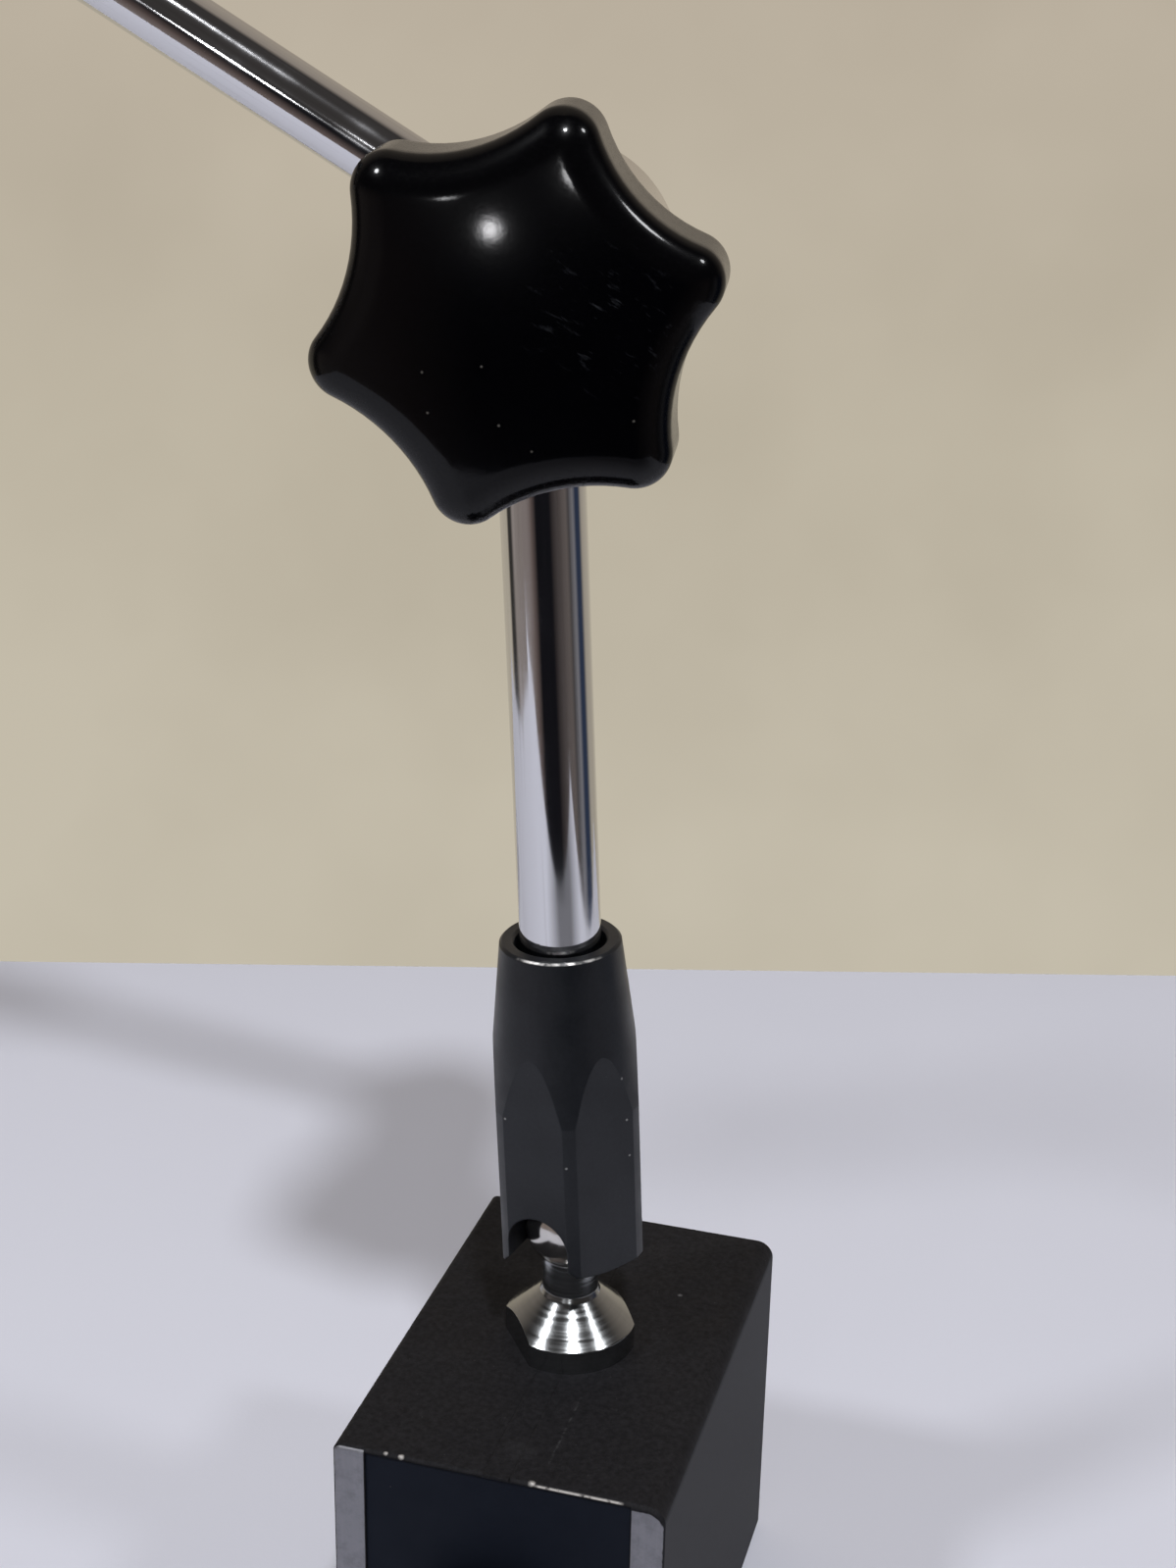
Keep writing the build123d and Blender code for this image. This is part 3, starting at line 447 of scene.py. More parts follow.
@dataclass(frozen=True)
class PaintedSteel:
    """Dark paint or blacking on steel, with worn edges and fine grain."""

    name: str
    dark: Colour
    light: Colour
    rough: float = 0.5
    wear: float = 0.3
    gloss: float = 0.5
    uneven: float = 0.08
    bare: Colour = (0.6, 0.58, 0.55)
    bare_metal: tuple[Point2, Point2] = ((0.0, 0.0), (0.5, 1.0))
    patches: Patches = Patches(45, 5, start=0.3, end=0.7)
    torn: Patches = Patches(420, 6, start=0.5, end=0.62)
    matte: Patches = Patches(150, 5, start=0.25, end=0.75)
    dust: Spots = Spots(140, 0.035, 0.35, (0.24, 0.23, 0.22))
    relief: Relief = Relief(Cloud(2600, 3), 0.00002, 0.6, 0.0003)

    def build(self) -> bpy.types.Material:
        """Make the finish.

        Returns:
            Its material.
        """
        nodes = Nodes(self.name)
        paint = nodes.mix(nodes.patches(self.patches), self.dark, self.light)
        worn = nodes.times(nodes.edges(self.relief.edge), nodes.patches(self.torn), self.wear)
        matte = self.matte.spanning(self.rough - self.uneven, self.rough + self.uneven)
        nodes.fixed({"Specular IOR Level": self.gloss})
        nodes.fill({
            "Base Color": nodes.mix(worn, nodes.spotted(paint, self.dust), self.bare),
            "Metallic": nodes.ramp(worn, self.bare_metal),
            "Roughness": nodes.patches(matte)})
        nodes.bump(self.relief)
        return nodes.material


@dataclass(frozen=True)
class PoleSteel:
    """Blacked pole block: matte black all over with painted shade on its side faces, ground bare on
    the strips beside each end panel.

    Sizes are in metres, and the places of marks and the chips' radii in millimetres.
    """

    name: str = "pole_blacked"
    dark: Colour = (0.0038, 0.0037, 0.0050)
    light: Colour = (0.0155, 0.0149, 0.0175)
    # Side faces: a tone of their own apart from the top's, painted shade for how light falls on
    # them.
    side: Colour = (0.0068, 0.0070, 0.0096)
    side_light: Colour = (0.0118, 0.0122, 0.0158)
    scratched: Colour = (0.12, 0.12, 0.125)
    bare: Colour = (0.30, 0.30, 0.325)
    bare_dull: float = 0.8
    bare_stained: float = 0.55
    bright: Colour = (0.62, 0.59, 0.56)
    gloss: float = 0.22
    metal: float = 0.85
    side_rough: float = 0.6
    bare_rough: float = 0.5
    mottle: Patches = Patches(1100, 6, 0.8, start=0.38, end=0.66)
    stain: Patches = Patches(430, 6, 0.7, start=0.44, end=0.62, high=0.42)
    matte: Patches = Patches(160, 5, start=0.25, end=0.75, low=0.62, high=0.78)
    broken_scratch: Patches = Patches(1100, start=0.45, end=0.62, high=0.22)
    broken_line: Patches = Patches(700, 5, start=0.36, end=0.5)
    grit: Spots = Spots(520, 0.05, 0.35, even(0.13))
    dust: Spots = Spots(110, 0.022, 0.5, (0.3, 0.29, 0.28))
    brushed: Cloud = Cloud(1500)
    brushed_stretch: Point3 = (1.0, 1.0, 0.04)
    relief: Relief = Relief(Cloud(2600), 0.00003, 0.7, 0.0004)
    top: float = 0.0575
    end: float = 0.0362
    strip: float = 0.0201
    outer: float = 0.0249
    strip_top: Point2 = (0.0576, 0.0567)
    strip_round: Point2 = (0.0009, 0.0026)
    strip_ragged: float = 0.0004
    strip_border: Cloud = Cloud(900, 3)
    corner_soft: float = 0.00012
    end_soft: float = 0.00005
    chips: tuple[Point2, ...] = ((-16.8, 0.42), (-14.4, 0.55), (5.3, 0.62))
    worn_line: Point2 = (5.6, 19.0)
    worn_depth: float = 0.00045
    worn_reach: float = 0.0001
    worn_soft: Point2 = (0.0008, 0.0002)
    nick: Point3 = (13.8, 16.1, 57.5)
    nick_radius: float = 0.0005
    scratch: tuple[float, float, float, float] = (6.1, 6.6, -32.4, -13.5)
    scratch_soft: Point2 = (0.0002, 0.004)
    smudge: Point3 = (1.4, -29.5, 57.5)
    smudge_radius: float = 0.003
    smudge_share: float = 0.06

    def build(self) -> bpy.types.Material:
        """Make the finish.

        Returns:
            Its material.
        """
        nodes = Nodes(self.name)
        x, y, z = (nodes.along(axis) for axis in Matrix.Identity(3))
        flank = nodes.blend(Maths.LESS, nodes.blend(Maths.SIZE, x), self.outer)
        on_side = nodes.blend(Maths.ABOVE, flank)
        mottle = nodes.patches(self.mottle)
        black = nodes.mix(mottle, self.dark, self.light)
        # Painted shade: the side faces take the side tone in place of the top's.
        black = nodes.mix(on_side, black, nodes.mix(mottle, self.side, self.side_light))
        black = nodes.spotted(nodes.spotted(black, self.grit), self.dust)
        black = nodes.mix(self.marks(nodes, x, y), black, self.scratched)
        brushed = nodes.cloud(self.brushed, nodes.stretched(self.brushed_stretch))
        bare = nodes.mix(brushed, shaded(self.bare, self.bare_dull), self.bare)
        bare = nodes.mix(nodes.patches(self.stain), bare, shaded(self.bare, self.bare_stained))
        strip, worn = self.strips(nodes, x, y, z), self.wear(nodes, x, y, z)
        metal = nodes.largest((strip, worn))
        matte = nodes.mix(on_side, nodes.patches(self.matte), even(self.side_rough))
        nodes.fixed({"Specular IOR Level": self.gloss})
        nodes.fill({
            "Base Color": nodes.mix(worn, nodes.mix(strip, black, bare), self.bright),
            "Metallic": nodes.times(metal, self.metal),
            "Roughness": nodes.mix(metal, matte, even(self.bare_rough))})
        nodes.bump(self.relief, nodes.mix(strip, nodes.cloud(self.relief.pattern), brushed))
        return nodes.material

    def marks(self, nodes: Nodes, x: Socket, y: Socket) -> Socket:
        """Mask of one nick, one faint scratch and a smudge on the top.

        Args:
            nodes: The material.
            x: Distance along X.
            y: Distance along Y.

        Returns:
            The mask socket.
        """
        left, right, front, back = (value * MM for value in self.scratch)
        across, along = self.scratch_soft
        line = nodes.times(
            nodes.between(x, left, right, across), nodes.between(y, front, back, along),
            nodes.patches(self.broken_scratch))
        nick = nodes.near(Vector(self.nick) * MM, self.nick_radius)
        smudge = nodes.near(Vector(self.smudge) * MM, self.smudge_radius)
        return nodes.largest((nick, line, nodes.times(smudge, self.smudge_share)))

    def strips(self, nodes: Nodes, x: Socket, y: Socket, z: Socket) -> Socket:
        """Mask of the bare strips on both end faces, each with a rounded outer top corner.

        Args:
            nodes: The material.
            x: Distance along X.
            y: Distance along Y.
            z: Height.

        Returns:
            The mask socket.
        """
        def plus(first: Socket, second: Amount) -> Socket:
            """Sum of two values."""
            return nodes.blend(Maths.PLUS, first, second)

        def less(first: Socket, second: Amount) -> Socket:
            """Difference of two values."""
            return nodes.blend(Maths.LESS, first, second)

        outward, on_right = nodes.blend(Maths.SIZE, x), nodes.blend(Maths.ABOVE, x)
        left_top, right_top = self.strip_top
        small, large = self.strip_round
        bend = plus(nodes.times(on_right, large - small), small)
        drop = plus(bend, nodes.times(on_right, left_top - right_top))
        past = {"X": less(plus(outward, bend), self.outer), "Y": less(plus(z, drop), left_top)}
        past = nodes.add("ShaderNodeCombineXYZ", past).outputs[0]
        reach = nodes.add("ShaderNodeVectorMath", {0: past}, operation="LENGTH").outputs["Value"]
        ragged = nodes.times(nodes.cloud(self.strip_border), self.strip_ragged)
        over = less(plus(reach, ragged), bend)
        corner = nodes.between(over, -BEYOND, self.corner_soft, self.corner_soft)
        across = nodes.between(outward, self.strip, BEYOND)
        at_end = nodes.between(nodes.blend(Maths.SIZE, y), self.end, BEYOND, self.end_soft)
        return nodes.times(corner, across, at_end)

    def wear(self, nodes: Nodes, x: Socket, y: Socket, z: Socket) -> Socket:
        """Mask of the chips and the bright worn line along the front top edge.

        Args:
            nodes: The material.
            x: Distance along X.
            y: Distance along Y.
            z: Height.

        Returns:
            The mask socket.
        """
        low, high = (value * MM for value in self.worn_line)
        along, into = self.worn_soft
        line = nodes.times(
            nodes.between(x, low, high, along),
            nodes.between(z, self.top - self.worn_depth, BEYOND),
            nodes.between(y, -BEYOND, self.worn_reach - self.end, into),
            nodes.patches(self.broken_line))
        chips = [nodes.near(Vector((place * MM, -self.end, self.top)), size * MM)
                 for place, size in self.chips]
        return nodes.largest([line, *chips])


@dataclass(frozen=True)
class SleeveSteel:
    """Blued sleeve steel: mottled dark slate with nicks, rubbed bright along its rim's front,
    partly wear and partly a painted highlight.

    The nicks, radii and soft borders are in metres, the rim and its rubbed line in millimetres.
    """

    name: str
    placement: Placement
    rim: float
    nicks: tuple[Vector, ...] = ()
    # The bright rim line is kept to the side facing this way, where it stands in part for a painted
    # highlight.
    forward: Point3 = (0.26, -0.966, 0.0)
    dark: Colour = (0.0045, 0.0056, 0.0082)
    light: Colour = (0.0115, 0.0135, 0.0175)
    edge_tone: Colour = (0.075, 0.082, 0.095)
    bright: Colour = (0.62, 0.6, 0.58)
    bright_rough: float = 0.34
    metal: float = 0.25
    # Bright line on the rim: partly rubbed bare metal and partly a painted highlight.
    rubbed: Point2 = (0.46, 0.04)
    rubbed_and_highlight_reach: float = 6.2
    rubbed_and_highlight_soft: Point2 = (0.00015, 0.0012)
    nick_radius: float = 0.00024
    nick_share: float = 0.6
    edge: float = 0.00028
    edge_share: float = 0.55
    patches: Patches = Patches(70, 6, 0.6, start=0.32, end=0.7, high=0.5)
    mottle: Patches = Patches(1500, 5, 0.7, start=0.35, end=0.7, high=0.5)
    torn: Patches = Patches(380, 6, start=0.46, end=0.6)
    broken: Patches = Patches(900, 5, start=0.42, end=0.6, low=0.1, high=0.85)
    matte: Patches = Patches(180, 5, start=0.25, end=0.75, low=0.29, high=0.45)
    dust: Spots = Spots(420, 0.035, 0.3, (0.14, 0.14, 0.145))
    relief: Relief = Relief(Cloud(2400), 0.000022, 0.6, 0.0003)

    def build(self) -> bpy.types.Material:
        """Make the finish.

        Returns:
            Its material.
        """
        nodes = Nodes(self.name)
        tone = nodes.blend(Maths.PLUS, nodes.patches(self.patches), nodes.patches(self.mottle))
        edge = nodes.times(nodes.edges(self.edge), nodes.patches(self.torn), self.edge_share)
        colour = nodes.mix(edge, nodes.mix(tone, self.dark, self.light), self.edge_tone)
        bright, matte = self.wear(nodes), nodes.patches(self.matte)
        nodes.fill({
            "Base Color": nodes.mix(bright, nodes.spotted(colour, self.dust), self.bright),
            "Metallic": nodes.mix(bright, even(self.metal), even(1.0)),
            "Roughness": nodes.mix(bright, matte, even(self.bright_rough))})
        nodes.bump(self.relief)
        return nodes.material

    def wear(self, nodes: Nodes) -> Socket:
        """Mask of the rubbed line along the front of the rim, partly wear and partly a painted
        highlight, and of the nicks.

        Args:
            nodes: The material.

        Returns:
            The mask socket.
        """
        origin, axis = self.placement.origin, self.placement.axis
        forward = Vector(self.forward)
        front = (forward - axis * forward.dot(axis)).normalized()
        low, high = ((origin.dot(axis) + self.rim - inset) * MM for inset in self.rubbed)
        start = (origin.dot(front) + self.rubbed_and_highlight_reach) * MM
        across, along = self.rubbed_and_highlight_soft
        # Bright rim line: partly wear and partly a painted highlight, on the forward side only.
        line = nodes.times(
            nodes.between(nodes.along(axis), low, high, across),
            nodes.between(nodes.along(front), start, BEYOND, along), nodes.patches(self.broken))
        nicks = [nodes.times(nodes.near(nick, self.nick_radius), self.nick_share)
                 for nick in self.nicks]
        return nodes.largest([line, *nicks])


@dataclass(frozen=True)
class BareSteel:
    """Turned, ground or drawn metal with marks along one direction."""

    name: str
    tint: Colour
    rough: float = 0.25
    stretch: Point3 = (1.0, 1.0, 0.03)
    relief: Relief = Relief(Cloud(1400), 0.000008, 0.5, 0.0002)
    stain: Colour = (0.2, 0.19, 0.18)
    stain_share: float = 0.25
    stained: Patches = Patches(60, 6, start=0.5, end=0.8)
    dull: float = 0.82
    uneven: float = 0.35
    uneven_span: Point2 = (0.3, 0.7)

    def build(self) -> bpy.types.Material:
        """Make the finish.

        Returns:
            Its material.
        """
        nodes = Nodes(self.name)
        lines = nodes.cloud(self.relief.pattern, nodes.stretched(self.stretch))
        stained = nodes.patches(self.stained.spanning(0.0, self.stain_share))
        metal = nodes.mix(lines, shaded(self.tint, self.dull), self.tint)
        stops = [(place, self.rough * (1 + side * self.uneven))
                 for place, side in zip(self.uneven_span, (-1, 1))]
        nodes.fixed({"Metallic": 1.0})
        nodes.fill({"Base Color": nodes.mix(stained, metal, self.stain),
                    "Roughness": nodes.ramp(lines, stops)})
        nodes.bump(self.relief, lines)
        return nodes.material


@dataclass(frozen=True)
class Chrome:
    """Bright plating with faint pits and wiping marks along the tube."""

    name: str
    axis: Vector
    tint: Colour = (0.70, 0.70, 0.715)
    dull: float = 0.8
    hairs: Patches = Patches(1900, start=0.58, end=0.72)
    hair_stretch: Point3 = (1.0, 1.0, 0.012)
    hair_dull: float = 0.5
    hair_matte: float = 0.25
    hair_rough: float = 0.4
    haze: Patches = Patches(90, 5, start=0.45, end=0.75, low=0.06, high=0.12)
    pits: Spots = Spots(520, 0.035, 0.6, (0.24, 0.23, 0.22))
    ripple: Relief = Relief(Cloud(55, 2), 0.000015, 0.35)
    ripple_stretch: Point3 = (1.0, 1.0, 0.25)

    def build(self) -> bpy.types.Material:
        """Make the finish.

        Returns:
            Its material.
        """
        nodes = Nodes(self.name)
        turn = tuple(self.axis.to_track_quat("Z", "Y").to_euler())
        hairs = nodes.patches(self.hairs, nodes.stretched(self.hair_stretch, turn))
        dull, matte = nodes.times(hairs, self.hair_dull), nodes.times(hairs, self.hair_matte)
        plate = nodes.mix(dull, self.tint, shaded(self.tint, self.dull))
        nodes.fixed({"Metallic": 1.0})
        nodes.fill({
            "Base Color": nodes.spotted(plate, self.pits),
            "Roughness": nodes.mix(matte, nodes.patches(self.haze), even(self.hair_rough))})
        along = nodes.stretched(self.ripple_stretch, turn)
        nodes.bump(self.ripple, nodes.cloud(self.ripple.pattern, along))
        return nodes.material


@dataclass(frozen=True)
class MouldedPlastic:
    """Glossy moulded plastic with faint scuffs, a little dust and specks at given places."""

    name: str
    base: Colour = (0.0006, 0.0006, 0.0011)
    rough: float = 0.2
    sheen: float = 0.04
    coat: float = 0.4
    coat_rough: float = 0.08
    specks: tuple[Vector, ...] = ()
    speck_radius: float = 0.00022
    speck_tone: Colour = (0.2, 0.19, 0.17)
    speck_share: float = 0.6
    rubbed_at: Optional[Vector] = None
    rubbed_radius: float = 0.0105
    hairs: Patches = Patches(1500, 5, start=0.6, end=0.72)
    hair_direction: Point3 = (0.832, 0.04, -0.498)
    hair_stretch: Point3 = (0.1, 1.0, 1.0)
    hair_tone: Colour = (0.16, 0.17, 0.19)
    hair_share: float = 0.16
    hair_matte: float = 0.5
    hair_rough: float = 0.55
    smudge: Patches = Patches(38, 5, start=0.35, end=0.75)
    smudge_rise: float = 0.1
    haze: Patches = Patches(1700, 4, 0.7, start=0.45, end=0.7, high=0.35)
    haze_rough: float = 0.5
    dust: Spots = Spots(150, 0.02, 0.3, even(0.1))
    relief: Relief = Relief(Cloud(1100, 5, 0.7), 0.000008, 0.5)

    def build(self) -> bpy.types.Material:
        """Make the finish.

        Returns:
            Its material.
        """
        nodes = Nodes(self.name)
        turn = tuple(Vector(self.hair_direction).to_track_quat("X", "Z").to_euler())
        hairs = nodes.patches(self.hairs, nodes.stretched(self.hair_stretch, turn))
        if self.rubbed_at:
            hairs = nodes.times(hairs, nodes.near(self.rubbed_at, self.rubbed_radius))
        colour = nodes.mix(nodes.times(hairs, self.hair_share), self.base, self.hair_tone)
        colour = nodes.spotted(colour, self.dust)
        if self.specks:
            marks = nodes.largest([nodes.near(speck, self.speck_radius) for speck in self.specks])
            colour = nodes.mix(nodes.times(marks, self.speck_share), colour, self.speck_tone)
        smudge = nodes.patches(self.smudge.spanning(self.rough, self.rough + self.smudge_rise))
        grainy = nodes.mix(nodes.patches(self.haze), smudge, even(self.haze_rough))
        matte = nodes.times(hairs, self.hair_matte)
        nodes.fixed({"Specular IOR Level": self.sheen, "Coat Weight": self.coat,
                     "Coat Roughness": self.coat_rough})
        nodes.fill({"Base Color": colour,
                    "Roughness": nodes.mix(matte, grainy, even(self.hair_rough)),
                    "Coat Normal": nodes.bump(self.relief)})
        return nodes.material


@dataclass
class Shape:
    """A closed mesh being made at a placement."""

    placement: Placement
    mesh: bmesh.types.BMesh = field(default_factory=bmesh.new)

    def loft(self, rings: Sequence[Sequence[Vector]]) -> None:
        """Join rings of equal length with quads and close both ends.

        Args:
            rings: Local rings of points, in order.
        """
        rows = [[self.mesh.verts.new(self.placement.at(*point)) for point in ring]
                for ring in rings]
        for low, high in zip(rows, rows[1:]):
            for index in range(len(low)):
                after = (index + 1) % len(low)
                self.mesh.faces.new((low[index], low[after], high[after], high[index]))
        self.mesh.faces.new(list(reversed(rows[0])))
        self.mesh.faces.new(rows[-1])

    def finish(self, name: str, finish: bpy.types.Material,
               smooth_angle: float = 30.0) -> bpy.types.Object:
        """Make the object.

        Args:
            name: The object's name.
            finish: Its material.
            smooth_angle: Edges sharper than this, in degrees, stay crisp.

        Returns:
            The object.
        """
        bmesh.ops.recalc_face_normals(self.mesh, faces=self.mesh.faces)
        data = bpy.data.meshes.new(name)
        self.mesh.to_mesh(data)
        self.mesh.free()
        for polygon in data.polygons:
            polygon.use_smooth = True
        data.set_sharp_from_angle(angle=math.radians(smooth_angle))
        data.materials.append(finish)
        made = bpy.data.objects.new(name, data)
        bpy.context.scene.collection.objects.link(made)
        return made


class Wardrobe:
    """The finishes that several pieces share, built once each."""

    def __init__(self) -> None:
        """Build the finishes."""
        self.black = PoleSteel().build()
        self.panel = PaintedSteel(
            "panel_navy", (0.0070, 0.0094, 0.0160), (0.0092, 0.0122, 0.0205), rough=0.6, wear=0.0,
            gloss=0.08).build()
        self.holder = PaintedSteel(
            "holder_black", (0.012, 0.012, 0.013), (0.02, 0.02, 0.022), rough=0.4, wear=0.4).build()
        self.polished = BareSteel(
            "polished_steel", (0.72, 0.70, 0.67), rough=0.14, stain_share=0.1).build()
        self.stud = BareSteel(
            "stud_steel", (0.44, 0.455, 0.46), rough=0.17, stretch=(0.03, 0.03, 1.0),
            relief=Relief(Cloud(2600), 0.000012, 0.5, 0.0002), stain=(0.10, 0.095, 0.09),
            stain_share=0.4).build()
        self.turned = BareSteel("turned_steel", (0.55, 0.54, 0.52), rough=0.28).build()
        self.spring = BareSteel("spring_wire", (0.35, 0.34, 0.33), rough=0.3).build()
        self.brass = BareSteel("brass", (0.66, 0.47, 0.2), rough=0.28).build()
        self.iron = BareSteel("soft_iron", (0.28, 0.27, 0.27), rough=0.42).build()
        self.switch = MouldedPlastic(
            "switch_black", (0.008, 0.008, 0.009), rough=0.3, sheen=0.4, coat=0.1).build()


@dataclass
class BodyWork:
    """What every sub-assembly shares: where things are and what they are finished in."""

    layout: Layout
    finishes: Wardrobe
    nodes: dict[str, bpy.types.Object]

    def dress(self, material: bpy.types.Material, *names: str) -> None:
        """Give carried-over nodes a finish.

        Args:
            material: The finish.
            names: The nodes.
        """
        for name in names:
            node = self.nodes[name]
            node.data.materials.clear()
            node.data.materials.append(material)
            LOG.info("dressed %s in %s", name, material.name)

    def stand_in(self, piece: bpy.types.Object, body: str, slot: str, *replaced: str) -> None:
        """Let a piece take the place of nodes.

        Args:
            piece: The new piece.
            body: Body that it rides on.
            slot: Not used.
            replaced: Nodes that it stands for.
        """
        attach(piece, body)
        if replaced:
            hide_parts(*replaced)
        LOG.info("built %s on %s", piece.name, body)


@dataclass
class MagneticBase(BodyWork):
    """The block with its panels, spacers and switch."""

    def build(self) -> None:
        """Dress the base's nodes."""
        finishes = self.finishes
        self.dress(finishes.black, "left_pole_block", "right_pole_block", "upper_spacer")
        self.dress(finishes.brass, "lower_spacer", "front_bush")
        self.dress(finishes.panel, "front_panel", "rear_panel")
        self.dress(finishes.turned, "rear_panel_screws", "switch_knob_screw", "switch_shaft",
                   "rear_journal")
        self.dress(finishes.iron, "rotor_magnet", "rotor_shoes")
        self.dress(finishes.switch, "switch_knob")


@dataclass
class LowerArm(BodyWork):
    """Ball stud, ball, sleeve, tube and what is inside them."""

    rim: float = 47.4
    nicks: tuple[Point3, ...] = (
        (2.42, -11.54, 94.19), (10.01, -4.19, 93.81), (9.5, -4.54, 99.84), (8.73, -5.11, 106.83),
        (-7.61, -9.84, 99.82))

    def build(self) -> None:
        """Dress the lower arm's nodes."""
        finishes, arm = self.finishes, self.layout.lower
        nicks = tuple(Vector(nick) * MM for nick in self.nicks)
        blued = SleeveSteel("lower_sleeve_slate", arm, self.rim, nicks)
        self.dress(finishes.stud, "lower_ball_stud")
        self.dress(finishes.polished, "lower_ball")
        self.dress(blued.build(), "lower_sleeve")
        self.dress(Chrome("lower_tube_chrome", arm.axis).build(), "lower_tube")
        self.dress(finishes.turned, "lower_thrust_cup", "lower_push_rod")


def spoke(angle: float, radius: float) -> Vector:
    """Point at an angle in radians and a radius, with no height."""
    return Vector((math.cos(angle), math.sin(angle), 0)) * radius


@dataclass
class StarOutline:
    """Round lobes joined by tangent hollow arcs, its first tip on X, in millimetres."""

    tip: float = 26.62
    valley: float = 21.42
    lobe: float = 4.85
    lobes: int = 6
    lobe_steps: int = 26
    valley_steps: int = 12

    def __post_init__(self) -> None:
        """Work out the tangent arcs."""
        self.half_step = math.pi / self.lobes
        self.lobe_centre = self.tip - self.lobe
        spread = self.lobe_centre * math.cos(self.half_step)
        self.gain = (
            (self.lobe_centre ** 2 + self.valley ** 2 - self.lobe ** 2 - 2 * spread * self.valley)
            / (2 * (spread - self.valley + self.lobe)))
        self.valley_centre = self.valley + self.gain
        self.reach = math.atan2(
            self.valley_centre * math.sin(self.half_step),
            self.valley_centre * math.cos(self.half_step) - self.lobe_centre)

    def ring(self, inset: float = 0.0) -> list[Vector]:
        """Points of the outline moved inward.

        Args:
            inset: Distance moved, less than the lobes' radius.

        Returns:
            The ring's points, with no height.
        """
        points = []
        turn_back = self.reach - self.half_step
        for number in range(self.lobes):
            tip = 2 * self.half_step * number
            for step in range(self.lobe_steps):
                angle = tip + self.reach * (2 * step / self.lobe_steps - 1)
                points.append(spoke(tip, self.lobe_centre) + spoke(angle, self.lobe - inset))
            low = tip + self.half_step
            for step in range(self.valley_steps):
                angle = low + math.pi + turn_back * (1 - 2 * step / self.valley_steps)
                points.append(spoke(low, self.valley_centre) + spoke(angle, self.gain + inset))
        return points

    def depth(self, point: Vector) -> float:
        """Distance of a point inside the outline from its nearest edge.

        Args:
            point: The point.

        Returns:
            The distance in millimetres.
        """
        angle = math.atan2(point.y, point.x) % (2 * self.half_step)
        here = spoke(min(angle, 2 * self.half_step - angle), math.hypot(point.x, point.y))
        from_lobe = here - spoke(0, self.lobe_centre)
        if abs(math.atan2(from_lobe.y, from_lobe.x)) <= self.reach:
            return self.lobe - from_lobe.length
        return (here - spoke(self.half_step, self.valley_centre)).length - self.gain


